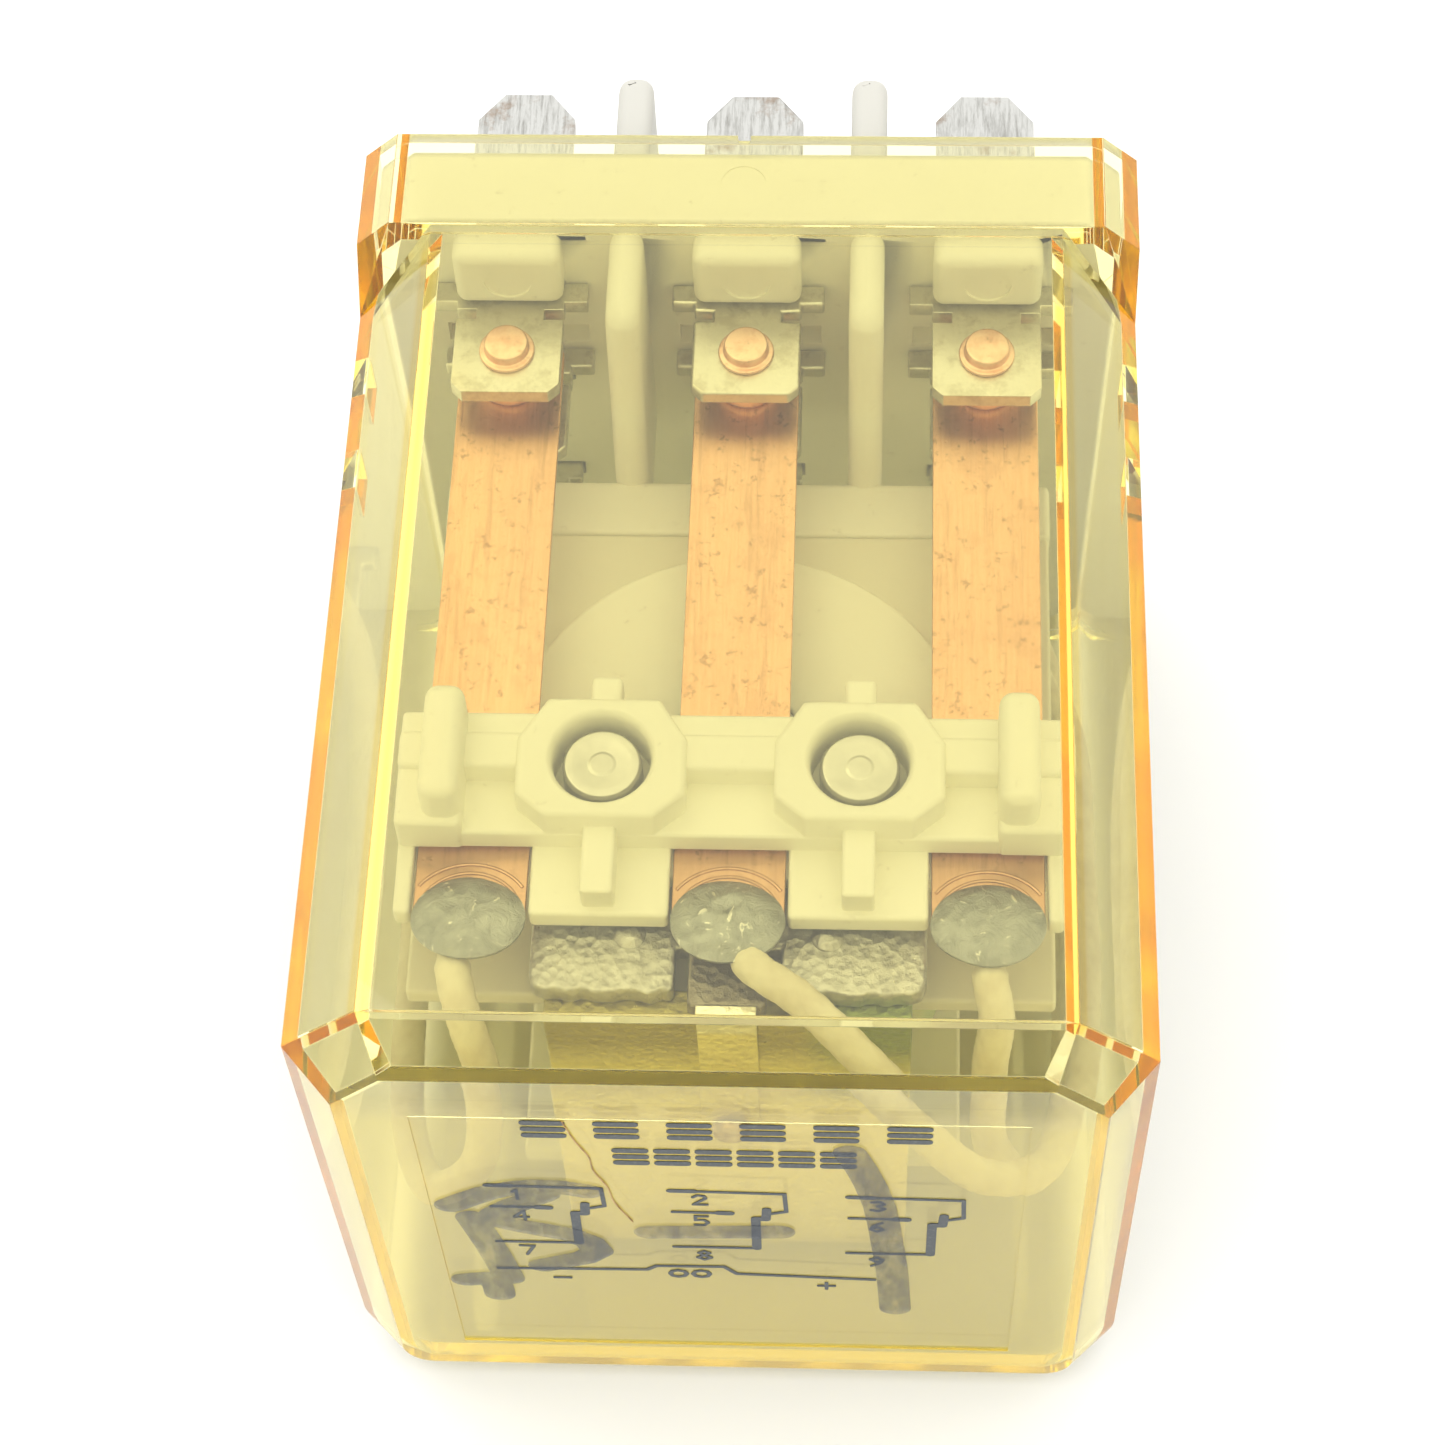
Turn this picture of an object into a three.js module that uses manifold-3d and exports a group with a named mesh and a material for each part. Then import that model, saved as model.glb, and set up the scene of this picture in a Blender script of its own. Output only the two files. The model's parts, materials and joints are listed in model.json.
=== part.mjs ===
// Three-pole plug-in power relay with a clear snap-on cover.
// The relay lies on its back: the contact side faces +Z, the printed end of the cover faces -Y
// and the blade terminals point along +Y. Millimetres.
import * as THREE from 'three';
import { ConvexGeometry } from 'three/addons/geometries/ConvexGeometry.js';
import { mergeVertices } from 'three/addons/utils/BufferGeometryUtils.js';
import Module from 'manifold-3d';

const wasm = await Module();
wasm.setup();

// ---------------------------------------------------------------- driving dimensions
const WIDTH = 36;                 // cover body, across X
const HEIGHT = 36;                // back face to contact-side face
const COVER_LENGTH = 47.4;        // printed end to open rim
const TOTAL_LENGTH = 54.9;        // printed end to blade tips
const WALL = 1.15;                // cover wall
const POLE_PITCH = 11.2;          // between the three poles
const POLES = [-POLE_PITCH, 0, POLE_PITCH];
const SIDES = [-1, 1];

const SKIRT_START = 42.1;         // the cover turns square around the base from here on
const SKIRT_PROUD = 0.12;
const GUSSET_START = 39.5;

const BASE_INNER = 42.9;          // face of the base plate inside the cover
const BASE_OUTER = 47.0;          // face of the base plate the blades leave
const BASE_EDGE_GAP = 0.12;

const BLADE_WIDTH = 4.75;
const BLADE_THICKNESS = 0.8;
const BLADE_TIP = 1.6;            // length of the tapered tip
const SLOT_GAP = 0.12;            // around a blade in its slot

// Depths below the contact-side face.
const NC_DEPTH = 6.1;             // middle of the upper contact plates and blades
const NO_PLATE_DEPTH = 11.1;      // middle of the lower contact plates
const NO_DEPTH = 12.9;            // middle of the lower contact blades
const COMMON_DEPTH = 20.9;
const COIL_BLADE_DEPTH = 28.9;
const SPRING_DEPTH = 8.0;         // upper face of the contact springs
const SPRING_THICKNESS = 0.25;
const SPRING_WIDTH = 4.9;
const ARMATURE_DEPTH = 9.5;       // upper face of the armature
const ARMATURE_THICKNESS = 1.2;
const POLE_FACE_DEPTH = 11.28;    // top of the core
const FLANGE_DEPTH = 11.55;       // top of the bobbin's round flange

const CONTACT_Y = 38.8;           // contact centres, from the printed end
const CONTACT_RADIUS = 1.6;
const COIL_Y = 20.9;              // coil axis, from the printed end
const CORE_RADIUS = 3.0;
const FLANGE_RADIUS = 10.45;
const CARRIER_RIVET_X = 5.6;
const CARRIER_RIVET_Y = 16.5;
const YOKE_FRONT = 6.5;
const YOKE_THICKNESS = 1.7;

const ROUND = 24;                 // facets on a round piece
const SMALL_ROUND = 16;           // facets on a rivet shank or a small hole
const THROUGH = 1;                // how far a cutter runs past the face it opens
const JOIN = 0.5;                 // how far joined solids run into each other
const HOLE_GAP = 0.1;             // between a hole's wall and what passes through it
const SEAT_GAP = 0.05;            // between faces that sit on each other

// ---------------------------------------------------------------- materials
const paint = (color, roughness, metalness, extra = {}) =>
  new THREE.MeshStandardMaterial({ color, roughness, metalness, ...extra });

const clearYellow = paint('#ecd268', 0.08, 0, { transparent: true, opacity: 0.35 });
const ivory = paint('#e9e3cf', 0.5, 0);
const bobbinIvory = paint('#ddd6bd', 0.55, 0);
const silver = paint('#c9cbcc', 0.3, 1);
const copper = paint('#c98158', 0.35, 1);
const contactAlloy = paint('#c48a6a', 0.4, 1);
const zincSteel = paint('#a9a69b', 0.5, 1);
const yellowZinc = paint('#8f8150', 0.45, 1);
const solder = paint('#a3a5a6', 0.35, 1);
const sleeve = paint('#d9cfae', 0.7, 0);
const enamelled = paint('#9c4f2c', 0.4, 0.6);
const tape = paint('#8d9a45', 0.5, 0);

// ---------------------------------------------------------------- geometry helpers
const up = (depth) => HEIGHT - depth;

/** Box between two corners; x and y in place, depths measured down from the contact side. */
function box(x0, x1, y0, y1, depth0, depth1) {
  const geometry = new THREE.BoxGeometry(x1 - x0, y1 - y0, depth1 - depth0);
  return geometry.translate((x0 + x1) / 2, (y0 + y1) / 2, up((depth0 + depth1) / 2));
}

/** Outline given in x, y and extruded between two depths. */
function plate(outline, depth0, depth1) {
  const shape = outline instanceof THREE.Shape
    ? outline
    : new THREE.Shape(outline.map(([x, y]) => new THREE.Vector2(x, y)));
  const geometry = new THREE.ExtrudeGeometry(shape, {
    depth: depth1 - depth0, bevelEnabled: false, curveSegments: 6,
  });
  return geometry.translate(0, 0, up(depth1));
}

/** Outline given in y, depth and extruded across x. */
function profile(outline, x0, x1) {
  const shape = new THREE.Shape(outline.map(([y, depth]) => new THREE.Vector2(y, up(depth))));
  const geometry = new THREE.ExtrudeGeometry(shape, { depth: x1 - x0, bevelEnabled: false });
  return geometry.rotateZ(Math.PI / 2).rotateY(Math.PI / 2).translate(x0, 0, 0);
}

/** Solid of revolution about a vertical axis; the profile is [radius, depth] pairs. */
function turned(x, y, points, facets = ROUND) {
  const outline = points.map(([radius, depth]) => new THREE.Vector2(radius, up(depth)));
  return new THREE.LatheGeometry(outline, facets).rotateX(Math.PI / 2).translate(x, y, 0);
}

const rod = (x, y, radius, depth0, depth1, facets = ROUND) =>
  turned(x, y, [[0, depth1], [radius, depth1], [radius, depth0], [0, depth0]], facets);

const ring = (x, y, inner, outer, depth0, depth1) => turned(x, y, [
  [inner, depth1], [outer, depth1], [outer, depth0], [inner, depth0], [inner, depth1],
], 2 * ROUND);

/** Convex solid through points given as [x, y, depth]. */
const hull = (points) =>
  new ConvexGeometry(points.map(([x, y, depth]) => new THREE.Vector3(x, y, up(depth))));

/** Round tube through points given as [x, y, depth]. */
function tube(points, radius, steps, sides = 8) {
  const curve = new THREE.CatmullRomCurve3(
    points.map(([x, y, depth]) => new THREE.Vector3(x, y, up(depth))), false, 'centripetal');
  const section = new THREE.Shape();
  for (let i = 0; i < sides; i += 1) {
    const angle = (2 * Math.PI * i) / sides;
    const corner = [radius * Math.cos(angle), radius * Math.sin(angle)];
    if (i === 0) {
      section.moveTo(...corner);
    } else {
      section.lineTo(...corner);
    }
  }
  return new THREE.ExtrudeGeometry(section, { steps, extrudePath: curve, bevelEnabled: false });
}

/** A three.js geometry as a manifold solid. */
function toSolid(geometry) {
  const bare = geometry.clone();
  bare.deleteAttribute('normal');
  bare.deleteAttribute('uv');
  const merged = mergeVertices(bare, 1e-4);
  return new wasm.Manifold(new wasm.Mesh({
    numProp: 3,
    vertProperties: new Float32Array(merged.attributes.position.array),
    triVerts: new Uint32Array(merged.index.array),
  }));
}

/** A manifold solid as a flat-shaded three.js geometry. */
function toGeometry(solid) {
  const mesh = solid.getMesh();
  const geometry = new THREE.BufferGeometry();
  geometry.setAttribute('position', new THREE.BufferAttribute(mesh.vertProperties, 3));
  geometry.setIndex(new THREE.BufferAttribute(mesh.triVerts, 1));
  const flat = geometry.toNonIndexed();
  flat.computeVertexNormals();
  return flat;
}

/** Joins the first list of geometries and cuts the second list out of the result. */
function combine(added, removed = []) {
  let solid = toSolid(added[0]);
  for (const geometry of added.slice(1)) {
    solid = solid.add(toSolid(geometry));
  }
  for (const geometry of removed) {
    solid = solid.subtract(toSolid(geometry));
  }
  return toGeometry(solid);
}

const relay = new THREE.Group();
relay.position.y = -TOTAL_LENGTH / 2;

function addPiece(name, geometry, material) {
  const mesh = new THREE.Mesh(geometry, material);
  mesh.name = name;
  relay.add(mesh);
}

// ---------------------------------------------------------------- cover
const LONG_BEVEL = { across: 3.5, down: 3.7 };      // along the two contact-side edges
const END_BEVEL = { along: 1.83, down: 2.54 };      // between the contact side and printed end
const CORNER = { side: 2.0, sideDrop: 0.7, end: 4.3, low: 2.04, lowDrop: 2.4 };
const BACK_RADIUS = 3.4;
const END_ROUND = 1.6;
const SKIRT_CUT = { across: 1.66, down: 1.6 };
const WINDOW = { centres: [31.2, 36.4], length: 2.1, depth0: 4.7, depth1: 6.9, reach: 3 };
const BEVEL_SHRINK = 2 - Math.SQRT2;   // a 45 degree bevel loses this share of an inset
const LEAST_ROUND = 0.3;
const ARC_STEPS = 8;
const GUSSET_BODY = 1;                 // how far a gusset runs into the wall behind it

/** The cover's outer form, or with an inset its cavity, which runs out past the rim. */
function coverForm(inset) {
  const shrink = BEVEL_SHRINK * inset;
  const half = WIDTH / 2 - inset;
  const bottom = HEIGHT - inset;
  const rim = COVER_LENGTH + (inset > 0 ? THROUGH : 0);
  const radius = BACK_RADIUS - inset;
  const across = LONG_BEVEL.across - shrink;
  const down = LONG_BEVEL.down - shrink;
  const endRound = Math.max(END_ROUND - inset, LEAST_ROUND);
  const bodyStart = inset + CORNER.side - shrink;
  const body = [];
  const skirt = [];
  const solids = [];
  const skirtHalf = half + SKIRT_PROUD;
  const skirtTop = inset - SKIRT_PROUD;
  for (const s of SIDES) {
    for (const y of [bodyStart, rim]) {
      body.push([s * half, y, inset + down]);
    }
    body.push([s * (half - across), inset + END_BEVEL.along - shrink, inset]);
    body.push([s * (half - across), rim, inset]);
    body.push([s * half, bodyStart, inset + down + CORNER.sideDrop]);
    body.push([s * (half - CORNER.end + shrink), inset, inset + END_BEVEL.down - shrink]);
    const lowDepth = inset + END_BEVEL.down + CORNER.lowDrop - shrink;
    body.push([s * (half - CORNER.low + shrink), inset, lowDepth]);
    for (let step = 0; step <= ARC_STEPS; step += 1) {
      const angle = (step * Math.PI) / 2 / ARC_STEPS;
      const arc = (r) => [
        s * (half - radius + r * Math.cos(angle)),
        bottom - radius + r * Math.sin(angle),
      ];
      const [xOuter, depthOuter] = arc(radius);
      const [xInner, depthInner] = arc(radius - endRound);
      const endInset = (CORNER.low - shrink - endRound) * Math.cos(angle);
      body.push([xOuter, rim, depthOuter]);
      body.push([xOuter, bodyStart, depthOuter]);
      body.push([xInner - s * endInset, inset, depthInner]);
    }
    for (const y of [SKIRT_START, rim]) {
      skirt.push([s * skirtHalf, y, skirtTop + SKIRT_CUT.down - shrink]);
      skirt.push([s * (skirtHalf - SKIRT_CUT.across + shrink), y, skirtTop]);
      skirt.push([s * skirtHalf, y, bottom - SKIRT_CUT.down + shrink]);
      skirt.push([s * (skirtHalf - SKIRT_CUT.across + shrink), y, bottom]);
    }
    solids.push(hull([
      [s * skirtHalf, SKIRT_START, skirtTop + SKIRT_CUT.down - shrink],
      [s * (skirtHalf - SKIRT_CUT.across + shrink), SKIRT_START, skirtTop],
      [s * (half - across), SKIRT_START, inset],
      [s * half, GUSSET_START, inset + down],
      [s * half, SKIRT_START, inset + down + GUSSET_BODY],
      [s * (half - across - GUSSET_BODY), SKIRT_START, inset + down + GUSSET_BODY],
    ]));
  }
  solids.push(hull(body), hull(skirt));
  return solids;
}

const windows = SIDES.flatMap((s) => WINDOW.centres.map((y) => box(
  s * WIDTH / 2 - WINDOW.reach, s * WIDTH / 2 + WINDOW.reach,
  y - WINDOW.length / 2, y + WINDOW.length / 2, WINDOW.depth0, WINDOW.depth1)));
addPiece('cover', combine(coverForm(0), [...coverForm(WALL), ...windows]), clearYellow);

// ---------------------------------------------------------------- base
const baseHalf = WIDTH / 2 + SKIRT_PROUD - WALL - BASE_EDGE_GAP;
const baseTop = WALL - SKIRT_PROUD + BASE_EDGE_GAP;
const baseBottom = HEIGHT - WALL - BASE_EDGE_GAP;
const BASE_CORNER = 1.1;
const RIB = {
  x: POLE_PITCH / 2, thickness: 1.6, start: 37.6, top: 1.9, foot: 36.0, bottom: 16.4,
  chamfer: { along: 0.6, down: 0.8 },
};
const BRIDGE = { start: 33.2, end: 36.3, top: 12.6, bottom: 16.4, half: 14.4 };
const BLOCK = {
  half: 2.53, start: 41.4, top: 2.1, bottom: NC_DEPTH - BLADE_THICKNESS / 2 - 0.08, gap: 0.1,
};
const OUTER_RIB = { thickness: 1.7, end: 52.95, top: 2.0, bottom: 24.5, tip: 0.8 };
const LEDGE = { half: 7.5, start: 37.4, top: 30.3, bottom: 32.2 };
const KEYWAY = { half: 3.4, deep: 1.0, top: NO_PLATE_DEPTH - 2.2, bottom: NO_PLATE_DEPTH - 0.8 };
const SLOT_REACH = 3;             // a blade slot's cutter starts this far inside the base plate
const FRAME_RIVET = { x: 4.6, y: 39.6, radius: 1.1, head: 1.9, headHigh: 0.75, tail: 0.45 };
const COIL_BLADE_X = POLE_PITCH;
const BLADE_ROWS = [
  ...POLES.flatMap((x) => [[x, NC_DEPTH], [x, NO_DEPTH], [x, COMMON_DEPTH]]),
  ...SIDES.map((s) => [s * COIL_BLADE_X, COIL_BLADE_DEPTH]),
];

/** Cutters for the two rivets that hold the magnet frame, through whatever lies at depth0..depth1. */
const frameRivetHoles = (depth0, depth1) => SIDES.map((s) => rod(
  s * FRAME_RIVET.x, FRAME_RIVET.y, FRAME_RIVET.radius + HOLE_GAP,
  depth0 - THROUGH, depth1 + THROUGH, SMALL_ROUND));

function baseGeometry() {
  const solids = [hull(SIDES.flatMap((s) => [BASE_INNER, BASE_OUTER].flatMap((y) => [
    [s * baseHalf, y, baseTop + BASE_CORNER],
    [s * (baseHalf - BASE_CORNER), y, baseTop],
    [s * baseHalf, y, baseBottom - BASE_CORNER],
    [s * (baseHalf - BASE_CORNER), y, baseBottom],
  ])))];
  const joined = BASE_INNER + JOIN;
  for (const s of SIDES) {
    const inner = s * RIB.x - RIB.thickness / 2;
    solids.push(profile([
      [RIB.start + RIB.chamfer.along, RIB.top], [joined, RIB.top], [joined, RIB.bottom],
      [RIB.foot, RIB.bottom], [RIB.foot, BRIDGE.top], [RIB.start, RIB.top + RIB.chamfer.down],
    ], inner, inner + RIB.thickness));
    const outer = s * RIB.x - OUTER_RIB.thickness / 2;
    solids.push(profile([
      [BASE_OUTER - JOIN, OUTER_RIB.top], [OUTER_RIB.end - OUTER_RIB.tip, OUTER_RIB.top],
      [OUTER_RIB.end, OUTER_RIB.top + OUTER_RIB.tip],
      [OUTER_RIB.end, OUTER_RIB.bottom - OUTER_RIB.tip],
      [OUTER_RIB.end - OUTER_RIB.tip, OUTER_RIB.bottom], [BASE_OUTER - JOIN, OUTER_RIB.bottom],
    ], outer, outer + OUTER_RIB.thickness));
  }
  solids.push(box(-BRIDGE.half, BRIDGE.half, BRIDGE.start, BRIDGE.end, BRIDGE.top, BRIDGE.bottom));
  solids.push(box(-LEDGE.half, LEDGE.half, LEDGE.start, joined, LEDGE.top, LEDGE.bottom));
  for (const x of POLES) {
    solids.push(box(x - BLOCK.half, x + BLOCK.half, BLOCK.start, joined, BLOCK.top, BLOCK.bottom));
  }
  const holes = BLADE_ROWS.map(([x, depth]) => box(
    x - BLADE_WIDTH / 2 - SLOT_GAP, x + BLADE_WIDTH / 2 + SLOT_GAP,
    BASE_INNER - SLOT_REACH, BASE_OUTER + THROUGH,
    depth - BLADE_THICKNESS / 2 - SLOT_GAP, depth + BLADE_THICKNESS / 2 + SLOT_GAP));
  const trimmed = POLES.map((x) => box(
    x - BLOCK.half - THROUGH, x + BLOCK.half + THROUGH, BLOCK.start - THROUGH, BASE_INNER,
    NC_DEPTH - BLADE_THICKNESS / 2 - BLOCK.gap, NC_DEPTH + BLADE_THICKNESS));
  const keyways = POLES.map((x) => box(
    x - KEYWAY.half, x + KEYWAY.half, BASE_INNER - THROUGH / 10, BASE_INNER + KEYWAY.deep,
    KEYWAY.top, KEYWAY.bottom));
  const rivetHoles = frameRivetHoles(LEDGE.top, LEDGE.bottom);
  return combine(solids, [...holes, ...trimmed, ...keyways, ...rivetHoles]);
}

addPiece('base', baseGeometry(), ivory);

// ---------------------------------------------------------------- fixed terminals and contacts
const SHOULDER = { half: 3.6, start: 41.7 };
const NECK = { half: 1.6, start: 40.65, end: 41.25 };
const PLATE = { half: 2.53, start: 36.45, corner: 0.5, end: BASE_INNER - 0.1 };
const NC_BLADE_START = BASE_INNER - 0.3;
const NO_BLADE_START = BASE_INNER - 0.9;
const BLADE_TIP_HALF = 1.15;
const FIXED_RIVET = {
  shank: 1.0, headRadius: 1.05, head: 0.72, button: 0.7, edge: { across: 0.3, down: 0.2 },
};

/** Flat blade with a tapered tip, from y0 out to the tips of the relay. */
function bladeOutline(x, y0) {
  const half = BLADE_WIDTH / 2;
  const shoulder = TOTAL_LENGTH - BLADE_TIP;
  return [
    [x - half, y0], [x + half, y0], [x + half, shoulder],
    [x + BLADE_TIP_HALF, TOTAL_LENGTH], [x - BLADE_TIP_HALF, TOTAL_LENGTH], [x - half, shoulder],
  ];
}

/** The contact plate of a fixed terminal with its neck and the shoulders behind it. */
function contactPlateOutline(x) {
  const right = [
    [PLATE.half - PLATE.corner, PLATE.start], [PLATE.half, PLATE.start + PLATE.corner],
    [PLATE.half, NECK.start], [NECK.half, NECK.start], [NECK.half, NECK.end],
    [PLATE.half, NECK.end], [PLATE.half, SHOULDER.start],
    [SHOULDER.half, SHOULDER.start], [SHOULDER.half, PLATE.end],
  ];
  const left = right.map(([dx, y]) => [-dx, y]).reverse();
  return [...right, ...left].map(([dx, y]) => [x + dx, y]);
}

/** Rivet whose button faces down (side 1) or up (side -1) from a plate between two depths. */
function fixedRivet(x, plateTop, plateBottom, side) {
  const { shank, headRadius, head, button, edge } = FIXED_RIVET;
  const [backDepth, frontDepth] = side > 0 ? [plateTop, plateBottom] : [plateBottom, plateTop];
  const back = backDepth - side * head;
  const front = frontDepth + side * button;
  const points = [
    [0, back], [headRadius, back], [headRadius, backDepth], [shank, backDepth],
    [shank, frontDepth], [CONTACT_RADIUS, frontDepth],
    [CONTACT_RADIUS, front - side * edge.down], [CONTACT_RADIUS - edge.across, front], [0, front],
  ];
  return turned(x, CONTACT_Y, side > 0 ? [...points].reverse() : points);
}

const rivetHole = (x, depth) => rod(
  x, CONTACT_Y, FIXED_RIVET.shank, depth - BLADE_THICKNESS, depth + BLADE_THICKNESS);

POLES.forEach((x, index) => {
  const half = BLADE_THICKNESS / 2;
  addPiece(`nc_terminal_${index + 1}`, combine(
    [plate(contactPlateOutline(x), NC_DEPTH - half, NC_DEPTH + half),
      plate(bladeOutline(x, NC_BLADE_START), NC_DEPTH - half, NC_DEPTH + half)],
    [rivetHole(x, NC_DEPTH)]), silver);
  addPiece(`nc_contact_${index + 1}`,
    fixedRivet(x, NC_DEPTH - half, NC_DEPTH + half, 1), contactAlloy);

  const jog = box(x - BLADE_WIDTH / 2, x + BLADE_WIDTH / 2, NO_BLADE_START, PLATE.end,
    NO_PLATE_DEPTH - half, NO_DEPTH + half);
  addPiece(`no_terminal_${index + 1}`, combine(
    [plate(contactPlateOutline(x), NO_PLATE_DEPTH - half, NO_PLATE_DEPTH + half), jog,
      plate(bladeOutline(x, NO_BLADE_START), NO_DEPTH - half, NO_DEPTH + half)],
    [rivetHole(x, NO_PLATE_DEPTH)]), silver);
  addPiece(`no_contact_${index + 1}`,
    fixedRivet(x, NO_PLATE_DEPTH - half, NO_PLATE_DEPTH + half, -1), contactAlloy);
});

const LUG = { start: 38.6, half: 1.7, joined: 1 };   // inner end of a terminal that takes a wire

function luggedTerminal(x, depth) {
  const half = BLADE_THICKNESS / 2;
  const lug = box(x - LUG.half, x + LUG.half, LUG.start, BASE_INNER, depth - half, depth + half);
  const blade = plate(bladeOutline(x, BASE_INNER - LUG.joined), depth - half, depth + half);
  return combine([lug, blade]);
}

POLES.forEach((x, index) => {
  addPiece(`common_terminal_${index + 1}`, luggedTerminal(x, COMMON_DEPTH), silver);
});
addPiece('coil_terminal_a', luggedTerminal(-COIL_BLADE_X, COIL_BLADE_DEPTH), silver);
addPiece('coil_terminal_b', luggedTerminal(COIL_BLADE_X, COIL_BLADE_DEPTH), silver);

// ---------------------------------------------------------------- magnet frame
const YOKE = { half: 8, legTop: 32.3, legBottom: 34.0, end: 41.4 };
const HINGE = { y: 7.5, depth: ARMATURE_DEPTH + ARMATURE_THICKNESS };
const CORE_SPIGOT = { radius: 2.2, end: 34.4 };
const CORE_SHOULDER = YOKE.legTop - 0.1;

addPiece('yoke', combine([
  box(-YOKE.half, YOKE.half, YOKE_FRONT, YOKE_FRONT + YOKE_THICKNESS,
    HINGE.depth + SEAT_GAP, YOKE.legBottom),
  box(-YOKE.half, YOKE.half, YOKE_FRONT, YOKE.end, YOKE.legTop, YOKE.legBottom),
], [
  rod(0, COIL_Y, CORE_SPIGOT.radius + HOLE_GAP, YOKE.legTop - THROUGH, YOKE.legBottom + THROUGH),
  ...frameRivetHoles(YOKE.legTop, YOKE.legBottom),
]), yellowZinc);

addPiece('core', turned(0, COIL_Y, [
  [0, CORE_SPIGOT.end], [CORE_SPIGOT.radius, CORE_SPIGOT.end],
  [CORE_SPIGOT.radius, CORE_SHOULDER], [CORE_RADIUS, CORE_SHOULDER],
  [CORE_RADIUS, POLE_FACE_DEPTH], [0, POLE_FACE_DEPTH],
]), zincSteel);

SIDES.forEach((s) => {
  const { x, y, radius, head } = FRAME_RIVET;
  const tail = YOKE.legBottom + FRAME_RIVET.tail;
  const underTail = YOKE.legBottom + SEAT_GAP;
  const underHead = LEDGE.top - SEAT_GAP;
  const top = underHead - FRAME_RIVET.headHigh;
  addPiece(`frame_rivet_${s < 0 ? 'left' : 'right'}`, turned(s * x, y, [
    [0, tail], [head, tail], [head, underTail], [radius, underTail],
    [radius, underHead], [head, underHead], [head, top], [0, top],
  ], SMALL_ROUND), silver);
});

// ---------------------------------------------------------------- coil
const BOBBIN = {
  plateHalf: 14.3, plateStart: 8.6, plateEnd: 33.0, plateThickness: 1.0, tube: 4.9, bore: 3.12,
};
const PLATE_DEPTH = FLANGE_DEPTH + 0.75;
const FLOOR_FLANGE = { top: 31.0, bottom: 32.15, half: 10.6 };
const WINDING = {
  inner: BOBBIN.tube + 0.1, outer: 9.75, top: PLATE_DEPTH + 1.1, bottom: FLOOR_FLANGE.top - 0.1,
};
const TAPE = {
  inner: 9.85, outer: 10.15, top: WINDING.top + 0.1, bottom: WINDING.bottom - 0.1,
};

addPiece('bobbin', combine([
  rod(0, COIL_Y, FLANGE_RADIUS, FLANGE_DEPTH, PLATE_DEPTH + JOIN, 2 * ROUND),
  box(-BOBBIN.plateHalf, BOBBIN.plateHalf, BOBBIN.plateStart, BOBBIN.plateEnd,
    PLATE_DEPTH, PLATE_DEPTH + BOBBIN.plateThickness),
  rod(0, COIL_Y, BOBBIN.tube, PLATE_DEPTH + JOIN, FLOOR_FLANGE.top + JOIN),
  box(-FLOOR_FLANGE.half, FLOOR_FLANGE.half, COIL_Y - FLOOR_FLANGE.half, COIL_Y + FLOOR_FLANGE.half,
    FLOOR_FLANGE.top, FLOOR_FLANGE.bottom),
], [
  rod(0, COIL_Y, BOBBIN.bore, FLANGE_DEPTH - THROUGH, FLOOR_FLANGE.bottom + THROUGH),
]), bobbinIvory);

addPiece('coil_winding',
  ring(0, COIL_Y, WINDING.inner, WINDING.outer, WINDING.top, WINDING.bottom), enamelled);
addPiece('coil_tape', ring(0, COIL_Y, TAPE.inner, TAPE.outer, TAPE.top, TAPE.bottom), tape);

const COIL_WIRE = { radius: 0.28, steps: 14 };

SIDES.forEach((s) => {
  addPiece(`coil_lead_${s < 0 ? 'a' : 'b'}`, tube([
    [s * 8.6, 27.6, 30.0], [s * 10.2, 31.0, 29.6], [s * 11.0, 34.5, 29.2],
    [s * COIL_BLADE_X, 38.2, COIL_BLADE_DEPTH],
  ], COIL_WIRE.radius, COIL_WIRE.steps), enamelled);
});

// ---------------------------------------------------------------- armature and what it carries
const ARMATURE = { half: 8.6, end: 21.4, noseHalf: 2.3, noseEnd: 24.6 };
const NOTCH = { half: 2.3, end: 9.6, tongueHalf: 1.7, tongueStart: 6.8 };
const CARRIER_RIVET = {
  shank: 1.2, hole: 1.3, collar: 1.75, collarTop: 5.7, face: 1.6, top: 5.6,
};

addPiece('armature', combine([
  plate([
    [-ARMATURE.half, HINGE.y], [-NOTCH.half, HINGE.y], [-NOTCH.half, NOTCH.end],
    [-NOTCH.tongueHalf, NOTCH.end], [-NOTCH.tongueHalf, NOTCH.tongueStart],
    [NOTCH.tongueHalf, NOTCH.tongueStart], [NOTCH.tongueHalf, NOTCH.end],
    [NOTCH.half, NOTCH.end], [NOTCH.half, HINGE.y], [ARMATURE.half, HINGE.y],
    [ARMATURE.half, ARMATURE.end], [ARMATURE.noseHalf, ARMATURE.end],
    [ARMATURE.noseHalf, ARMATURE.noseEnd], [-ARMATURE.noseHalf, ARMATURE.noseEnd],
    [-ARMATURE.noseHalf, ARMATURE.end], [-ARMATURE.half, ARMATURE.end],
  ], ARMATURE_DEPTH, ARMATURE_DEPTH + ARMATURE_THICKNESS),
], SIDES.map((s) => rod(s * CARRIER_RIVET_X, CARRIER_RIVET_Y, CARRIER_RIVET.hole,
  ARMATURE_DEPTH - THROUGH, HINGE.depth + THROUGH))), zincSteel);

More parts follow.
